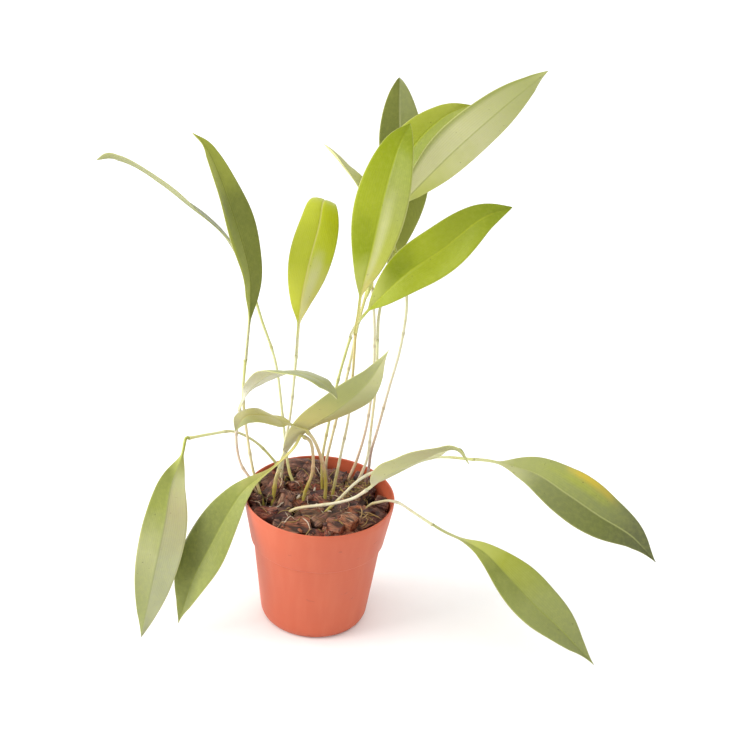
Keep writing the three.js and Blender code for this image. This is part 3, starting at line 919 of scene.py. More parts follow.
# %% Grow the moss
fibre_places = 6
fibre_rise, fibre_droop, droop_share = 0.7, -0.5, 0.7
fibre_lengths, fibre_thicknesses, fibre_tints = (1.5, 4.0), (0.3, 0.6), (0.28, 0.66)
moss_tufts = [(15, 21, 7, 60), (24, 24, 7, 60), (20, 12, 6, 40), (29, 15, 5, 30), (-3, 20, 4, 16)]
for tuft_x, tuft_y, reach, fibre_count in moss_tufts:
    for _ in range(fibre_count):
        x, y = thread_draws.spot(reach)
        foot, facing = bark_surface(tuft_x + x, tuft_y + y)
        lean = Vector((thread_draws.pick(-1, 1), thread_draws.pick(-1, 1), fibre_rise))
        droop = Vector((thread_draws.pick(-1, 1), thread_draws.pick(-1, 1), fibre_droop))
        length = thread_draws.pick(*fibre_lengths)
        shares = np.linspace(0, 1, fibre_places)
        raised = [foot + (lean * share + droop * share ** 2 * droop_share) * length for share in shares]
        places = [Vector(place) for place in kept_inside(np.array(raised))]
        add_thread(places, thread_draws.pick(*fibre_thicknesses), thread_draws.pick(*fibre_tints))
print("With the moss there are", len(thread_form.faces), "faces of threads")

# %% [markdown]
# Living or dry, these threads let some light through and have no shine. The ramp runs from the dark
# needle over olive moss and straw to white, and a little noise keeps a root from being even along its
# length.

# %% Thread finish
thread = Finish("roots_and_moss")
thread_spots = thread.noise(thread.place(), 900.0, 3.0, 0.6)
thread_tint = thread.maths("ADD", thread.number("tint"), thread.spread(thread_spots, 0.3, 0.7, -0.09, 0.09))
thread_tone = thread.ramp(thread_tint, [
    (0.0, colour(74, 70, 42)),
    (0.2, colour(120, 112, 62)),
    (0.4, colour(134, 110, 62)),
    (0.6, colour(192, 164, 84)),
    (0.8, colour(214, 176, 128)),
    (1.0, colour(250, 236, 216)),
])
off_middle = thread.maths("ABSOLUTE", thread.maths("SUBTRACT", thread.number("along"), 0.5))
thread_tone = thread.mix(thread.spread(off_middle, 0.3, 0.5, 0.0, 0.3), thread_tone, colour(120, 84, 52))
thread.feed(thread.surface["Base Color"], thread_tone)
thread.feed(thread.surface["Roughness"], thread.spread(thread_spots, 0.3, 0.7, 0.5, 0.8))
thread.feed(thread.surface["Subsurface Weight"], 0.15)
thread.feed(thread.surface["Subsurface Radius"], (0.001, 0.0008, 0.0005))
thread.feed(thread.surface["Normal"], thread.bump(thread_spots, 0.0002, 0.5))
make_piece("roots_and_moss", thread_form, thread, "bark")

# %% [markdown]
# ## The shoots
# A shoot of this orchid is a thin cane, called a ramicaul, with one leaf at its top. Each shoot is
# written down as a few places in millimetres that its cane and its leaf pass through, the same as in
# the CAD model. The petiole is the share of the leaf that is stalk. The face is where the upper side
# of the leaf looks, at its base and at its tip. Rise and taper say how fast the blade widens and
# narrows, fold how deep its trough is in degrees, and girth how thick the cane is beside the others.

# %% Places of the seventeen shoots
shoots = [
    dict(
        name="far_left", width=28, petiole=0.1, taper=0.94, fold=4,
        face=[(0.68, 0.1, 0.72), (0.34, 0.62, 0.71)],
        stem=[(-11, 17, 72), (-18, 22, 79), (-22, 30, 89), (-26, 37, 113), (-32, 43, 147),
            (-42, 49, 173), (-48, 53, 190)],
        leaf=[(-65, 56, 222), (-88, 57, 241), (-111, 59, 257), (-130, 61, 265), (-142, 62, 263)]),
    dict(
        name="left_dark", width=27.5, petiole=0.16, rise=1.12, taper=1.1,
        face=[(0.78, -0.57, 0.26), (0.82, -0.27, 0.51)],
        stem=[(-34, 4, 72), (-41, 7, 94), (-46, 12, 118), (-49, 17, 138), (-48.7, 21, 160)],
        leaf=[(-48.3, 25, 173), (-48, 30, 189), (-50, 36, 213), (-64, 46, 251), (-76, 53, 276),
            (-86, 57, 286)]),
    dict(
        name="middle_backward", width=25.5, petiole=0.13, rise=1.2, taper=2, fold=-5,
        face=[(0.1, -0.75, 0.6), (0.1, -0.4, 0.85)],
        stem=[(-25, 20, 72), (-24, 20, 90), (-23, 23, 105), (-21, 26, 122), (-20, 31, 143),
            (-19.6, 36, 157)],
        leaf=[(-19.4, 39, 171), (-18.6, 43, 190), (-15, 49, 213), (-11, 60, 231), (-10, 72, 239.5),
            (-9, 84, 237.5), (-9, 94, 229), (-9, 101, 219), (-9, 106, 208)]),
    dict(
        name="centre_bright", width=31, petiole=0.18, face=[(-0.1, -0.85, 0.5), (-0.1, -0.8, 0.6)],
        stem=[(7, 13, 72), (11, 15, 104), (14, 16, 128), (15, 15, 160), (15, 14, 186)],
        leaf=[(16, 14, 199), (17, 15, 214), (21, 18, 237), (26, 26, 268), (32, 38, 293),
            (38, 52, 303)]),
    dict(
        name="high_right_pale", width=31, petiole=0.27, rise=0.97, taper=1, fold=8,
        face=[(-0.28, 0.96, 0.06), (-0.36, 0.93, 0.1)],
        stem=[(26, 25, 72), (28, 26, 86), (29, 32, 97), (32, 37, 110), (37, 43, 135), (42, 48, 160),
            (44, 51, 187), (41, 51, 209)],
        leaf=[(34, 50, 227), (34, 51, 248), (57, 56, 278), (87, 63, 309), (114, 71, 333)]),
    dict(
        name="high_dark", width=30, petiole=0.25, taper=0.8,
        face=[(0.15, -0.8, 0.55), (0.15, -0.8, 0.55)],
        stem=[(19, 24, 72), (23, 21, 84), (27, 25, 97), (28, 33, 115), (29, 43, 140), (28, 50, 164)],
        leaf=[(28, 55, 181), (33, 66, 212), (38, 93, 243), (33, 117, 270), (30, 137, 298)]),
    dict(
        name="right_bright", width=29, petiole=0.17, rise=0.92, taper=0.94,
        face=[(-0.25, -0.87, 0.43), (-0.1, -0.84, 0.54)],
        stem=[(1, 19, 72), (0, 20, 88), (0, 22, 99), (2, 26, 115), (6, 30, 144), (10, 31, 165),
            (12.2, 31, 175)],
        leaf=[(17, 30, 187), (28, 29, 203), (43, 32, 219), (62, 35, 234), (82, 40, 252),
            (100, 45, 259)]),
    dict(
        name="left_arch", width=26, petiole=0.1, fold=1, face=[(-0.35, 0.67, 0.66), (0.29, 0.16, 0.94)],
        stem=[(-37, 9, 72), (-40, 9, 79), (-43, 8, 87), (-48, 11, 93), (-51, 14, 101), (-52, 13, 115),
            (-50, 8, 133)],
        leaf=[(-46, 4, 147), (-40, -1, 158), (-30, -8, 169), (-17, -19, 176), (-3, -32, 179),
            (8, -42, 174)]),
    dict(
        name="inner_pale", width=35, petiole=0.1, rise=0.87, taper=1.5, girth=1.35, fold=6,
        face=[(-0.63, 0.32, 0.7), (0.07, 0.98, 0.16)],
        stem=[(-28, 4, 72), (-27, 7, 87), (-25, 7, 95)],
        leaf=[(-22, 7, 106.5), (-11, 4, 125), (8, -3, 145.5), (24, -10, 168), (35, -15, 193)]),
    dict(
        name="small_left", width=17.5, petiole=0.3, rise=0.93, girth=1.2, fold=-3,
        face=[(0.61, 0.12, 0.78), (-0.13, -0.09, 0.99)],
        stem=[(3, 8, 72), (3, 10, 86), (1, 9, 98), (-3, 5, 113), (-6, 2, 121), (-9, 0, 126)],
        leaf=[(-15, -9, 134), (-20, -15, 140), (-26, -20, 145), (-33, -27, 151), (-43, -36, 155),
            (-48, -46, 151)]),
    dict(
        name="behind_centre", width=22.5, petiole=0.12, rise=0.85, taper=1.05,
        face=[(0.97, -0.25, 0.01), (0.67, 0.03, 0.74)],
        stem=[(5, 25, 72), (2, 29, 85), (4, 34, 100), (11, 42, 140), (16, 48, 177)],
        leaf=[(20, 50, 200), (21, 54, 229), (15, 60, 252), (0, 69, 268), (-11, 80, 275)]),
    dict(
        name="high_bright", width=28, petiole=0.14, face=[(-0.3, -0.7, 0.6), (-0.3, -0.7, 0.6)],
        stem=[(14, 29, 71), (20, 33, 87), (25, 42, 108), (27, 51, 136), (26, 58, 164.5), (23, 63, 191)],
        leaf=[(22, 66, 214.5), (28, 75, 243), (40, 82, 274), (57, 89, 293), (73, 92, 301)]),
    dict(
        name="left_hanging", width=27.5, petiole=0.1, rise=0.97, taper=1, fold=7,
        face=[(-0.04, 0.82, -0.57), (0.24, 0.81, -0.53)],
        stem=[(-20, 26, 72), (-24, 27, 80), (-30, 28, 88), (-41, 26, 101), (-54, 20, 111),
            (-67, 12, 113), (-79, 4, 114)],
        leaf=[(-83, -1, 103), (-88, -8, 87), (-90, -20, 69), (-94, -36, 44), (-99, -56, 11)]),
    dict(
        name="left_over_rim", width=32, petiole=0.17, rise=1.8, taper=1.3, girth=1.15,
        face=[(-0.3, -0.5, 0.8), (-0.5, -0.65, 0.55)],
        stem=[(-10, 4, 72), (-9, 5, 81), (-6, 6, 91), (-5, 6, 100), (-6, 4, 113), (-8, 3, 119),
            (-11, 1, 122)],
        leaf=[(-17, -2, 115), (-28, -5, 103), (-43, -10, 91), (-52, -14, 77), (-63, -22, 54),
            (-72, -30, 35), (-79, -38, 10)]),
    dict(
        name="right_arch", width=26, petiole=0.05, rise=0.65, taper=1.2, girth=1.1, fold=11,
        face=[(-0.25, 0.68, 0.66), (-0.1, 0.66, 0.7)],
        stem=[(-19, -8, 72), (-15, -12, 79), (-9, -13, 82), (8, -13, 86), (20, -12, 90), (28, -11, 96)],
        leaf=[(38, -13, 108), (48, -18, 118), (60, -28, 131), (68, -36, 141), (77, -43, 147),
            (84, -50, 143)]),
    dict(
        name="far_right", width=32, petiole=0.1, rise=1.2, taper=1.25,
        face=[(0.22, -0.68, 0.68), (0.22, -0.68, 0.68)],
        stem=[(1, -10, 72), (5, -9, 78), (12, -4, 84), (22, 1, 94), (32, 4, 100), (48, 6, 107),
            (70, 4, 113), (90, -1, 116)],
        leaf=[(102, -4, 117), (125, -8, 114), (144, -17, 107), (164, -23, 97), (184, -27, 87),
            (199, -36, 76)]),
    dict(
        name="right_hanging", width=31, petiole=0.11, rise=1.55, taper=1.4,
        face=[(0.35, -0.6, 0.72), (0.35, -0.6, 0.72)],
        stem=[(28, 3, 72), (31, 0, 79), (35, -2, 82), (41, -4, 85), (48, -6, 85), (57, -9, 81),
            (68.5, -14, 76.5)],
        leaf=[(77, -17, 73.4), (88, -21, 71), (101, -24, 65), (118, -32, 52), (132, -39, 41),
            (147, -46, 31), (168, -60, 17)]),
]

print(len(shoots), "shoots with", sum(len(shoot["leaf"]) for shoot in shoots), "places along their leaves")

# %% [markdown]
# A cane doesn't run straight from place to place. It follows a smooth curve through all of them. The
# curve used here is a spline that passes through every place and leaves it in the direction of its
# neighbours. Blender's curve objects could carry it too. With plain numbers the leaves and the rings
# can ask it for any place and direction. The curve is cut into short steps once, and the length
# walked so far is kept at each step, so that any share of the length can be looked up.

# %% A smooth way through places
steps_between_places = 60
heading_reach = 0.5


class Way:
    """A smooth line through places, looked up by shares of its length."""

    def __init__(self, places):
        patches_and_painted_light = np.array(places, float)
        patches_and_painted_light = np.vstack([2 * patches_and_painted_light[0] - patches_and_painted_light[1], patches_and_painted_light, 2 * patches_and_painted_light[-1] - patches_and_painted_light[-2]])
        share = np.linspace(0, 1, steps_between_places, endpoint=False)[:, None]
        runs = []
        for before, start, end, after in zip(patches_and_painted_light, patches_and_painted_light[1:], patches_and_painted_light[2:], patches_and_painted_light[3:]):
            leaving = (end - before) / 2
            arriving = (after - start) / 2
            square = 3 * (end - start) - 2 * leaving - arriving
            cube = 2 * (start - end) + leaving + arriving
            runs.append(start + leaving * share + square * share ** 2 + cube * share ** 3)
        self.line = np.vstack([*runs, patches_and_painted_light[-2:-1]])
        strides = np.linalg.norm(np.diff(self.line, axis=0), axis=1)
        self.walked = np.concatenate([[0.0], np.cumsum(strides)])
        self.length = float(self.walked[-1])

    def place(self, share):
        reach = share * self.length
        return np.array([np.interp(reach, self.walked, self.line[:, axis]) for axis in range(3)])

    def heading(self, share):
        """The direction of the line at a share of its length."""
        step = heading_reach / self.length
        onward = self.place(min(1.0, share + step)) - self.place(max(0.0, share - step))
        return onward / np.linalg.norm(onward)


rooted_depth = 9.0
cane_ways = {}
for shoot in shoots:
    foot = (shoot["stem"][0][0], shoot["stem"][0][1], shoot["stem"][0][2] - rooted_depth)
    cane_ways[shoot["name"]] = Way([foot, *shoot["stem"]])
cane_lengths = sorted(way.length for way in cane_ways.values())
print("Canes are", round(cane_lengths[0]), "to", round(cane_lengths[-1]), "mm long")

# %% [markdown]
# ## The canes
# A ramicaul is about as thick as a toothpick, thinnest half way up, and a little swollen where it has
# a node. A short one has one node on its way and a long one two, and each ends in the joint that
# bears the leaf. A curve with a round bevel would give an even tube. Here each ring gets its own
# radius instead, for the swellings. All rings are turned by one fixed direction, so the tube doesn't
# twist. A slow noise keeps it from being perfectly even.

# %% Rings and thickness of a cane
cane_foot_radius = 1.0
cane_top_radius = 0.92
cane_slimming = 0.14
node_swelling = 0.25
node_length = 1.8
scar_length = 1.6
long_cane = 70.0
ring_facing = np.array((0.0, -1.0, 0.3))


def cane_nodes(length):
    lower = [0.42, 0.74] if length > long_cane else [0.58]
    return [*lower, 1.0]


def ring_directions(heading):
    """Two directions across a line, turned the same way for every ring."""
    side = np.cross(ring_facing, heading)
    side /= np.linalg.norm(side)
    return side, np.cross(heading, side)


def add_ring(form, middle, heading, radius, sides, **notes):
    side, front = ring_directions(heading)
    places = [middle + (side * x + front * y) * radius for x, y in circle(sides)]
    return [form.add(place, **notes) for place in places]


def cane_radius(shoot, way, share):
    radius = cane_foot_radius + (cane_top_radius - cane_foot_radius) * share
    radius -= cane_slimming * 4 * share * (1 - share)
    for node in cane_nodes(way.length):
        away = (share - node) * way.length / node_length
        radius += node_swelling * math.exp(-away * away)
    return radius * shoot.get("girth", 1.0)


def near_node(way, share):
    """1 at a node and 0 a few millimetres away from it."""
    away = min(abs(share - node) for node in cane_nodes(way.length)) * way.length
    return math.exp(-(away / scar_length) ** 2)


longest = max(shoots, key=lambda shoot: cane_ways[shoot["name"]].length)
half_way_radius = cane_radius(longest, cane_ways[longest["name"]], 0.5)
print("The longest cane is", round(2 * half_way_radius, 2), "mm thick half way up")

# %% Build the cane form
cane_sides = 14
ring_spacing = 1.1
cane_waver = 0.05
waver_length = 7


def cane_form(shoot):
    form = Form("along", "node")
    way = cane_ways[shoot["name"]]
    rings = []
    ring_count = round(way.length / ring_spacing)
    for i in range(ring_count + 1):
        share = i / ring_count
        middle = way.place(share)
        radius = cane_radius(shoot, way, share)
        radius *= 1 + cane_waver * noise.noise(Vector(middle) / waver_length)
        notes = {"along": share, "node": near_node(way, share)}
        rings.append(add_ring(form, middle, way.heading(share), radius, cane_sides, **notes))
    form.skin(rings)
    form.cap(rings[0], form.add(way.place(0), along=0.0, node=0.0))
    form.cap(rings[-1], form.add(way.place(1), along=1.0, node=1.0))
    return form


print("A ring of", cane_sides, "points comes every", ring_spacing, "mm")

# %% [markdown]
# The canes are pale yellow-green where they are young, straw, peach or cream lower down, and olive at
# the foot. The colours are laid along the cane by a ramp, mottled by a noise, streaked finely along
# its length, and darkened at the nodes, where a cane keeps a brown scar. The tones have names, and
# each cane gets four of them, from its foot to its top.

# %% Tones of the canes
cane_tones = {
    "olive": colour(200, 182, 76),
    "moss": colour(184, 174, 88),
    "green": colour(220, 224, 146),
    "lime": colour(234, 235, 160),
    "pale": colour(242, 243, 192),
    "straw": colour(240, 226, 176),
    "sand": colour(226, 212, 156),
    "cream": colour(250, 244, 212),
    "honey": colour(242, 220, 146),
    "peach": colour(240, 202, 156),
    "rose": colour(236, 210, 188),
    "plum": colour(146, 104, 104),
}
cane_colours = {
    "far_left": "olive pale pale green",
    "left_dark": "olive straw straw green",
    "middle_backward": "olive cream cream pale",
    "centre_bright": "olive cream straw honey",
    "high_right_pale": "plum rose cream pale",
    "high_dark": "peach cream straw pale",
    "right_bright": "olive sand green lime",
    "left_arch": "moss rose rose cream",
    "inner_pale": "olive olive olive sand",
    "small_left": "olive olive peach straw",
    "behind_centre": "plum straw straw pale",
    "high_bright": "peach rose cream cream",
    "left_hanging": "moss lime pale lime",
    "left_over_rim": "olive olive peach straw",
    "right_arch": "olive straw cream cream",
    "far_right": "olive cream cream green",
    "right_hanging": "olive sand cream pale",
}
print(len(cane_tones), "tones for", len(cane_colours), "canes")

# %% Cane finish
def cane_finish(name, foot, low, high, top):
    skin = Finish("cane_" + name)
    streaks = skin.noise(skin.place((1.0, 1.0, 0.12)), 1500.0, 2.0)
    mottling = skin.noise(skin.place(), 190.0, 3.0)
    along = skin.maths("ADD", skin.number("along"), skin.spread(mottling, 0.3, 0.7, -0.06, 0.06))
    tone = skin.ramp(along, [(0.10, foot), (0.32, low), (0.60, high), (0.95, top)])
    tone = skin.mix(skin.spread(streaks, 0.4, 0.65, 0.0, 0.2), tone, colour(246, 240, 190))
    tone = skin.mix(skin.spread(mottling, 0.5, 0.72, 0.0, 0.2), tone, colour(206, 156, 126))
    tone = skin.mix(skin.spread(skin.number("node"), 0.35, 0.95, 0.0, 0.22), tone, colour(140, 106, 64))
    skin.feed(skin.surface["Base Color"], tone)
    skin.feed(skin.surface["Roughness"], skin.spread(mottling, 0.3, 0.7, 0.38, 0.52))
    skin.feed(skin.surface["Specular IOR Level"], 0.3)
    skin.feed(skin.surface["Subsurface Weight"], 0.2)
    skin.feed(skin.surface["Subsurface Radius"], (0.0015, 0.0012, 0.0005))
    skin.feed(skin.surface["Normal"], skin.bump(streaks, 0.0001, 0.5))
    return skin


for shoot in shoots:
    name = shoot["name"]
    tones = [cane_tones[tone] for tone in cane_colours[name].split()]
    skin = cane_finish(name, *tones)
    make_piece("cane_" + name, cane_form(shoot), skin, "cane", "ramicaul_" + name)

# %% [markdown]
# ## The leaves
# A leaf is a channelled stalk that opens into a long leathery blade, folded in a shallow trough along
# its midrib. It could be a flat sheet made thick by a Solidify modifier, but then it would be equally
# thick everywhere. So it is modelled ring by ring: every ring is a thin closed outline across the
# leaf, with its upper side, its rounded margin and its under side. The upper side has a fine groove
# over the midrib and the under side a low ridge, as the real leaf has. The blade is thickest at the
# midrib and thins towards its margins, which wave a little.

# %% Shape of a leaf across and along
joint_run = 2.5
leaf_rows = 104
half_columns = 14
column_crowding = 1.25
petiole_half_width = 1.05
petiole_thickness = 1.4
petiole_fold = 38.0
tip_half_width = 0.15
usual_rise = 1.05
usual_taper = 0.95
blade_thickness = 0.9
blade_fold = 15.0
unfold_run = 5.0
margin_thinning = 0.5
trough_rounding = 0.3
blade_belly = 0.035
groove_depth = 0.28
groove_width = 0.55
rib_height = 0.45
rib_width = 0.9
margin_wave = 0.45
joint_overlap = 0.9


def leaf_way(shoot):
    """The leaf leaves the joint in line with its cane."""
    cane = cane_ways[shoot["name"]]
    joint, onward = cane.place(1), cane.heading(1)
    return Way([joint + onward * gap, joint + onward * joint_run, *shoot["leaf"]])


def half_width(shoot, share):
    """Half the width of the leaf in millimetres, pointed at both ends."""
    petiole = shoot["petiole"]
    blade = min(1.0, max(0.0, (share - petiole) / (1 - petiole)))
    rise, fall = shoot.get("rise", usual_rise), shoot.get("taper", usual_taper)
    widest = rise / (rise + fall)
    shape = blade ** rise * (1 - blade) ** fall / (widest ** rise * (1 - widest) ** fall)
    stalk_half_width = petiole_half_width * (1 - share)
    return math.hypot(stalk_half_width, shoot["width"] / 2 * shape) + tip_half_width * share


def column_shares():
    half = [(i / half_columns) ** column_crowding for i in range(half_columns + 1)]
    return [-value for value in reversed(half[1:])] + half


def bell(distance, width):
    return math.exp(-(distance / width) ** 2)


leaf_lengths = sorted(leaf_way(shoot).length for shoot in shoots)
print("Leaves are", round(leaf_lengths[0]), "to", round(leaf_lengths[-1]), "mm long with their stalks")

# %% [markdown]
# The form of one leaf follows. At every row the leaf has its own three directions: along it, across
# it, and up from its upper side. A place on the blade is found by going across and up from the middle
# line. Each point is told how far along the leaf it lies, how far across from -1 to 1, how many
# millimetres from the midrib, and on which side.

# %% A row across the leaf
margin_ripples = 19
tip_thinning = 0.6
margin_roundness = 0.3


class LeafRow:
    """One row across a leaf, with its place, its three directions and its fold."""

    def __init__(self, shoot, way, share):
        self.share = share
        self.ripple = share * margin_ripples + way.length
        self.heading = way.heading(share)
        self.middle = way.place(share)
        face_base, face_tip = (np.array(face) for face in shoot["face"])
        side = np.cross(self.heading, face_base * (1 - share) + face_tip * share)
        self.side = side / np.linalg.norm(side)
        self.up = np.cross(self.side, self.heading)
        self.half = half_width(shoot, share)
        self.opened = min(1.0, max(0.0, (self.half - petiole_half_width) / unfold_run))
        own_fold = shoot.get("fold", blade_fold)
        self.fold = math.radians(petiole_fold + (own_fold - petiole_fold) * self.opened)
        self.thickness = petiole_thickness + (blade_thickness - petiole_thickness) * self.opened

    def lifted(self, column):
        """How high the blade lies at a column above the bottom of its trough."""
        trough = math.sqrt(column ** 2 + trough_rounding ** 2) - trough_rounding
        trough /= math.sqrt(1 + trough_rounding ** 2) - trough_rounding
        belly = blade_belly * 4 * abs(column) * (1 - abs(column)) * self.opened
        wave = margin_wave * self.opened * column ** 2 * math.sin(self.ripple + column)
        return self.half * (trough * math.sin(self.fold) + belly) + wave

    def body(self, column):
        """Half the thickness of the blade at a column."""
        thinned = 1 - tip_thinning * self.share ** 8
        return self.thickness / 2 * (1 - margin_thinning * column ** 2) * thinned

    def add_point(self, form, column, height, upper):
        off_rib = abs(column) * self.half
        place = self.middle + self.side * (column * self.half * math.cos(self.fold)) + self.up * height
        notes = {"along": self.share, "across": float(column), "off_rib": float(off_rib), "upper": upper}
        return form.add(place, **notes)

    def add_ring(self, form, columns):
        """The closed outline of the row: the upper side, a margin, the under side and the other margin."""
        ring = []
        for column in columns:
            groove = groove_depth * bell(column * self.half, groove_width) * self.opened
            height = self.lifted(column) + self.body(column) - groove
            ring.append(self.add_point(form, column, height, 1.0))
        edge = self.thickness * (1 - margin_thinning) / max(self.half, 1.0)
        margin = 1 + margin_roundness * edge
        ring.append(self.add_point(form, margin, self.lifted(1.0), 0.5))
        for column in reversed(columns):
            ridge = rib_height * bell(column * self.half, rib_width) * self.opened * (1 - self.share)
            height = self.lifted(column) - self.body(column) - ridge
            ring.append(self.add_point(form, column, height, 0.0))
        ring.append(self.add_point(form, -margin, self.lifted(-1.0), 0.5))
        return ring


print("The outline of every row has", 2 * len(column_shares()) + 2, "points")

# %% Build the leaf form
def leaf_form(shoot):
    form = Form("along", "across", "off_rib", "upper")
    way = leaf_way(shoot)
    columns = column_shares()
    rings = []
    for i in range(leaf_rows + 1):
        row = LeafRow(shoot, way, i / leaf_rows)
        if i == 0:
            row.middle = row.middle - row.heading * joint_overlap
        rings.append(row.add_ring(form, columns))
    form.skin(rings)
    for ring, share in ((rings[0], 0.0), (rings[-1], 1.0)):
        centre = np.mean([form.points[index] for index in ring], axis=0)
        form.cap(ring, form.add(centre, along=share, across=0.0, off_rib=0.0, upper=0.5))
    return form


print("A leaf is built from", leaf_rows + 1, "rows")

# %% [markdown]
# ## The skin of a leaf
# The leaves look alike in build but not in colour: some are bright yellow-green, some dull olive, and
# the ones seen from below are pale grey-green. So there is one recipe, and each leaf gets its own
# tones. They are given for the stalk and then at four places from the base of the blade to its tip,
# for each half of the upper side and of the under side. The two halves of a folded leaf rarely match
# in colour, and their tones also carry painted sheen and painted shade. Over them lie a thin midrib,
# faint parallel veins that follow the margins, a soft mottling, a lighter margin and a few specks. A
# leaf may also have a margin of another tone from some place on, and soft patches of other tones,
# some of them painted sheen, painted shadow or painted light. The veins raise the surface very
# slightly. The cuticle is satin and reflects little, so the greens stay deep.

# %% Tones along and across a leaf
tone_places = (0.07, 0.19, 0.38, 0.62, 0.90)


class LeafSkin(Finish):
    """The finish of one leaf, with the numbers and the noises that its steps share."""

    def __init__(self, name):
        super().__init__(name)
        self.along = self.number("along")
        self.across = self.number("across")
        self.upper_side = self.number("upper")
        self.broad = self.noise(self.place(), 30.0, 3.0, 0.6)
        self.fine = self.noise(self.place(), 420.0, 3.0, 0.6)
        waver = self.spread(self.broad, 0.25, 0.75, -0.06, 0.06)
        self.wavering = self.maths("ADD", self.along, waver)

    def both_halves(self, stalk, rows):
        shades = [self.ramp(self.wavering, list(zip(tone_places, (stalk, *row)))) for row in rows]
        return self.mix(self.spread(self.across, -0.05, 0.05), *shades)

    def edged(self, tone, side, start, edge_tone):
        """Another tone along one margin, from a place on."""
        reach = self.maths("MULTIPLY", self.across, side)
        margin = self.spread(reach, 0.68, 0.98, 0.0, 0.85)
        beyond = self.spread(self.wavering, start - 0.08, start + 0.08)
        return self.mix(self.maths("MULTIPLY", margin, beyond), tone, edge_tone)

    def patched(self, tone, side, start, end, near, far, patch_tone):
        """A soft patch on one half. Some patches are another tone of the leaf; others are painted sheen,
        painted shadow or painted light.
        """
        reach = self.maths("MULTIPLY", self.across, side)
        inside = self.spread(self.wavering, start - 0.1, start + 0.08)
        inside = self.maths("MULTIPLY", inside, self.spread(self.wavering, end + 0.1, end - 0.08))
        inside = self.maths("MULTIPLY", inside, self.spread(reach, near - 0.15, near + 0.15))
        inside = self.maths("MULTIPLY", inside, self.spread(reach, far + 0.2, far - 0.15, 0.0, 0.7))
        return self.mix(inside, tone, patch_tone)


print("The tones of a leaf lie at these shares of its length:", tone_places)

# %% Veins, midrib and margins
vein_count = 11


def leaf_veins(skin):
    """1 on a vein and 0 between two. The veins follow the margins."""
    vein_wave = skin.maths("SINE", skin.maths("MULTIPLY", skin.across, 2 * math.pi * vein_count))
    return skin.maths("MULTIPLY", skin.spread(vein_wave, 0.5, 1.0), skin.spread(skin.along, 0.98, 0.7))


def detailed(skin, tone, veins, rib, rib_share):
    tone = skin.mix(skin.maths("MULTIPLY", veins, 0.08), tone, colour(96, 112, 40))
    tone = skin.mix(skin.spread(skin.fine, 0.35, 0.75, 0.0, 0.10), tone, colour(224, 228, 110))
    tone = skin.mix(skin.spread(skin.broad, 0.3, 0.7, 0.14, 0.0), tone, colour(92, 104, 30))
    rib_line = skin.spread(skin.number("off_rib"), 0.75, 0.2)
    rib_line = skin.maths("MULTIPLY", rib_line, skin.spread(skin.along, 0.99, 0.8, 0.0, rib_share))
    rib_line = skin.maths("MULTIPLY", rib_line, skin.spread(skin.along, 0.12, 0.28))
    tone = skin.mix(rib_line, tone, rib)
    rim_line = skin.spread(skin.maths("ABSOLUTE", skin.across), 0.96, 1.0, 0.0, 0.45)
    tone = skin.mix(rim_line, tone, colour(226, 224, 150))
    specks = skin.spread(skin.noise(skin.place(), 560.0, 1.0), 0.76, 0.79, 0.0, 0.5)
    return skin.mix(specks, tone, colour(92, 80, 44))


print("A leaf has", 2 * vein_count, "veins beside its midrib")

# %% Leaf finish
def leaf_finish(name, stalk, upper, under, rib, rib_share=0.5, edge=None, patches_and_painted_light=()):
    skin = LeafSkin("leaf_" + name)
    under_tone, upper_tone = skin.both_halves(stalk, under), skin.both_halves(stalk, upper)
    tone = skin.mix(skin.upper_side, under_tone, upper_tone)
    if edge is not None:
        tone = skin.edged(tone, *edge)
    for patch in patches_and_painted_light:
        tone = skin.patched(tone, *patch)
    veins = leaf_veins(skin)
    skin.feed(skin.surface["Base Color"], detailed(skin, tone, veins, rib, rib_share))
    gloss = skin.spread(skin.broad, 0.3, 0.7, 0.30, 0.42)
    gloss = skin.maths("ADD", gloss, skin.spread(skin.upper_side, 1.0, 0.0, 0.0, 0.2))
    skin.feed(skin.surface["Roughness"], gloss)
    skin.feed(skin.surface["Specular IOR Level"], 0.2)
    skin.feed(skin.surface["Subsurface Weight"], 0.1)
    skin.feed(skin.surface["Subsurface Radius"], (0.0012, 0.0016, 0.0004))
    relief = skin.bump(veins, 0.0001, 0.4)
    skin.feed(skin.surface["Normal"], skin.bump(skin.fine, 0.00006, 0.35, relief))
    return skin


# %% [markdown]
# Nearly thirty greens are needed for this plant. They are named here once, the pale ones first and
# the dark ones last. Each leaf then reads like a note on a sketch: the tone of the stalk, then base,
# lower middle, upper middle and tip of each half. Where both halves match, one row of words stands
# for both. An edge is a side, -1 or 1, the share of the leaf where it starts, and its tone. A patch is
# a side, where it starts and ends along the leaf, where it starts and ends across it, and its tone.

# %% Tones of the leaves
leaf_tones = {
    "white": colour(252, 250, 226),
    "cream": colour(246, 242, 200),
    "mist": colour(231, 230, 171),
    "silver": colour(212, 213, 154),
    "ash": colour(186, 188, 147),
    "dun": colour(198, 191, 143),
    "pale": colour(192, 196, 124),
    "straw": colour(242, 232, 150),
    "khaki": colour(216, 205, 122),
    "gold": colour(240, 205, 48),
    "lemon": colour(224, 229, 122),
    "butter": colour(238, 241, 84),
    "citron": colour(205, 213, 56),
    "sulphur": colour(199, 208, 22),
    "apple": colour(181, 187, 72),
    "pear": colour(195, 201, 102),
    "lime": colour(180, 193, 40),
    "bright": colour(160, 176, 12),
    "grass": colour(142, 157, 22),
    "fern": colour(165, 173, 84),
    "sage": colour(168, 175, 101),
    "leek": colour(177, 179, 126),
    "dull": colour(147, 153, 95),
    "moss": colour(152, 160, 76),
    "olive": colour(137, 144, 64),
    "dark": colour(124, 131, 68),
    "shade": colour(109, 115, 54),
    "dusk": colour(102, 106, 70),
}
print(len(leaf_tones), "tones serve for all leaves")

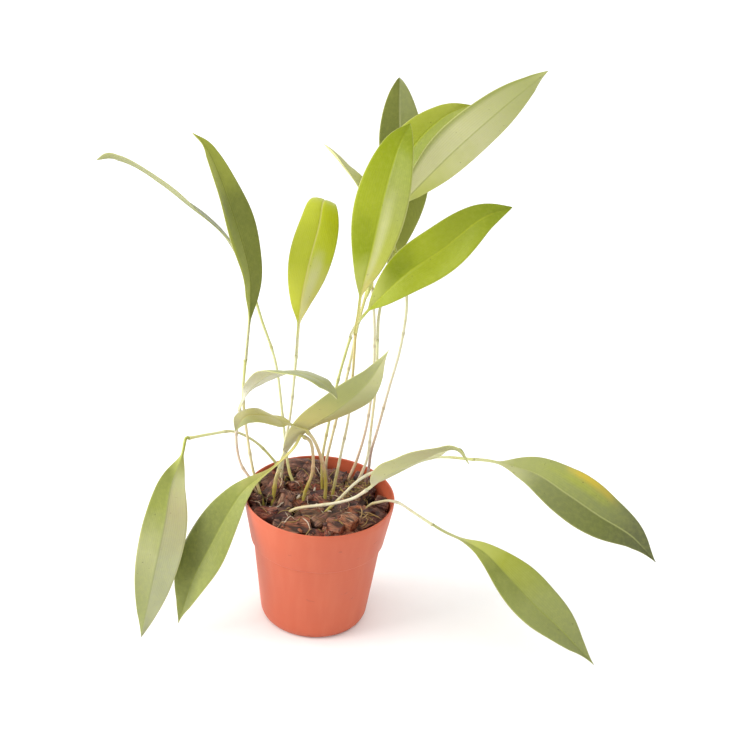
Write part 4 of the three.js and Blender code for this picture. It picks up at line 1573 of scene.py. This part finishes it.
# %% The tones of each leaf
# The tones of the two halves carry painted sheen and painted shade as well as each leaf's own colour.
leaf_skins = {
    "far_left": dict(
        stalk="mist", upper="leek dull dull sage", under="leek dull leek leek", rib="dull"),
    "left_dark": dict(
        stalk="cream", upper=("lemon fern olive apple", "olive olive olive apple"),
        under="mist pale pale sage", rib="olive", rib_share=0.6, edge=(-1.0, 0.2, "apple")),
    # middle_backward: its mist patch is a painted sheen beside the midrib.
    "middle_backward": dict(
        stalk="cream", upper=("butter citron citron citron", "straw citron sulphur citron"),
        under="mist pale pale pale", rib="straw", rib_share=0.45,
        patches_and_painted_light=((1.0, 0.2, 0.38, 0.12, 0.6, "mist"),)),
    # centre_bright: its silver patch is a painted sheen beside the midrib.
    "centre_bright": dict(
        stalk="straw", upper=("lemon bright lime bright", "khaki apple fern grass"),
        under="mist pale pale pale", rib="lime", rib_share=0.5,
        patches_and_painted_light=((1.0, 0.25, 0.6, 0.1, 0.42, "silver"),)),
    "high_right_pale": dict(
        stalk="pear", upper="pear fern fern fern",
        under=("pear lemon mist pale", "lemon mist mist pale"), rib="fern", rib_share=0.5,
        edge=(1.0, 0.35, "fern")),
    # high_dark: its pear patch is painted light that lifts the shade other leaves cast on its lower blade.
    "high_dark": dict(
        stalk="cream", upper=("straw fern olive olive", "straw fern olive dull"),
        under="pale pale pale sage", rib="silver", rib_share=0.5,
        patches_and_painted_light=((1.0, 0.2, 0.5, 0.0, 1.3, "pear"),)),
    # right_bright: its grass patch is a painted shadow of another leaf.
    "right_bright": dict(
        stalk="cream", upper=("lemon bright lime grass", "lime lime lime grass"),
        under="mist pale pale pale", rib="citron", rib_share=0.4,
        patches_and_painted_light=((-1.0, 0.36, 0.46, 0.15, 0.8, "grass"),)),
    "left_arch": dict(
        stalk="cream", upper=("mist silver leek leek", "mist silver sage leek"),
        under=("white white mist silver", "white cream silver silver"), rib="silver"),
    "inner_pale": dict(
        stalk="cream", upper="pear sage sage sage",
        under=("straw khaki silver mist", "cream straw pale leek"), rib="pale", rib_share=0.5),
    "small_left": dict(
        stalk="straw", upper=("straw khaki khaki leek", "straw straw khaki dun"),
        under="mist dun dun dun", rib="khaki", edge=(1.0, 0.1, "dun")),
    "behind_centre": dict(
        stalk="straw", upper="lemon lemon lemon mist", under="lemon lemon lemon mist", rib="lemon"),
    "high_bright": dict(
        stalk="straw", upper=("citron lime lime apple", "citron lime grass fern"),
        under="mist pale pale pale", rib="lime"),
    "left_hanging": dict(
        stalk="pear", upper="fern sage dull dull", under=("olive moss leek dull", "silver dun ash ash"),
        rib="dull", rib_share=0.5),
    "left_over_rim": dict(
        stalk="straw", upper=("khaki moss olive sage", "khaki moss dark sage"),
        under="mist pale pale sage", rib="fern", rib_share=0.5,
        patches_and_painted_light=((-1.0, 0.55, 0.82, 0.0, 1.3, "olive"), (1.0, 0.66, 0.84, 0.0, 1.3, "shade"))),
    "right_arch": dict(
        stalk="cream", upper="pale sage sage sage",
        under=("silver silver mist mist", "mist silver dun leek"), rib="silver"),
    "far_right": dict(
        stalk="mist", upper=("pale sage dull dusk", "silver dull dark dusk"),
        under="mist pale pale sage", rib="pale", rib_share=0.6,
        patches_and_painted_light=((-1.0, 0.46, 0.62, 0.74, 1.3, "gold"), (-1.0, 0.4, 0.6, 0.45, 0.7, "apple"))),
    "right_hanging": dict(
        stalk="silver", upper=("lemon apple sage dull", "pear moss sage dull"),
        under="mist pale pale sage", rib="fern", rib_share=0.6),
}
two_sided = sum(not isinstance(skin["upper"], str) for skin in leaf_skins.values())
print(two_sided, "leaves have two halves that differ on their upper side")

# %% Make the leaves
def toned(halves):
    """The tones of both halves. One row of words serves both where they match."""
    rows = (halves, halves) if isinstance(halves, str) else halves
    return [[leaf_tones[word] for word in row.split()] for row in rows]


for shoot in shoots:
    name = shoot["name"]
    skin = dict(leaf_skins[name])
    for side in ("upper", "under"):
        skin[side] = toned(skin[side])
    for line in ("stalk", "rib"):
        skin[line] = leaf_tones[skin[line]]
    if "edge" in skin:
        *where, word = skin["edge"]
        skin["edge"] = (*where, leaf_tones[word])
    skin["patches_and_painted_light"] = [(*where, leaf_tones[word]) for *where, word in skin.get("patches_and_painted_light", ())]
    finish = leaf_finish(name, **skin)
    make_piece("leaf_of_" + name, leaf_form(shoot), finish, "leaf", "leaf_" + name)

# %% [markdown]
# ## The last measure
# The difference between the box that the CAD solids filled at the start and the box that the pieces
# fill now is printed.

# %% Measure and finish
low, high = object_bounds()
growth = [round((a - b) / MM, 2) for a, b in zip((*low, *high), (*cad_low, *cad_high))]
print("The visual model's box differs from the CAD box by", growth, "mm")
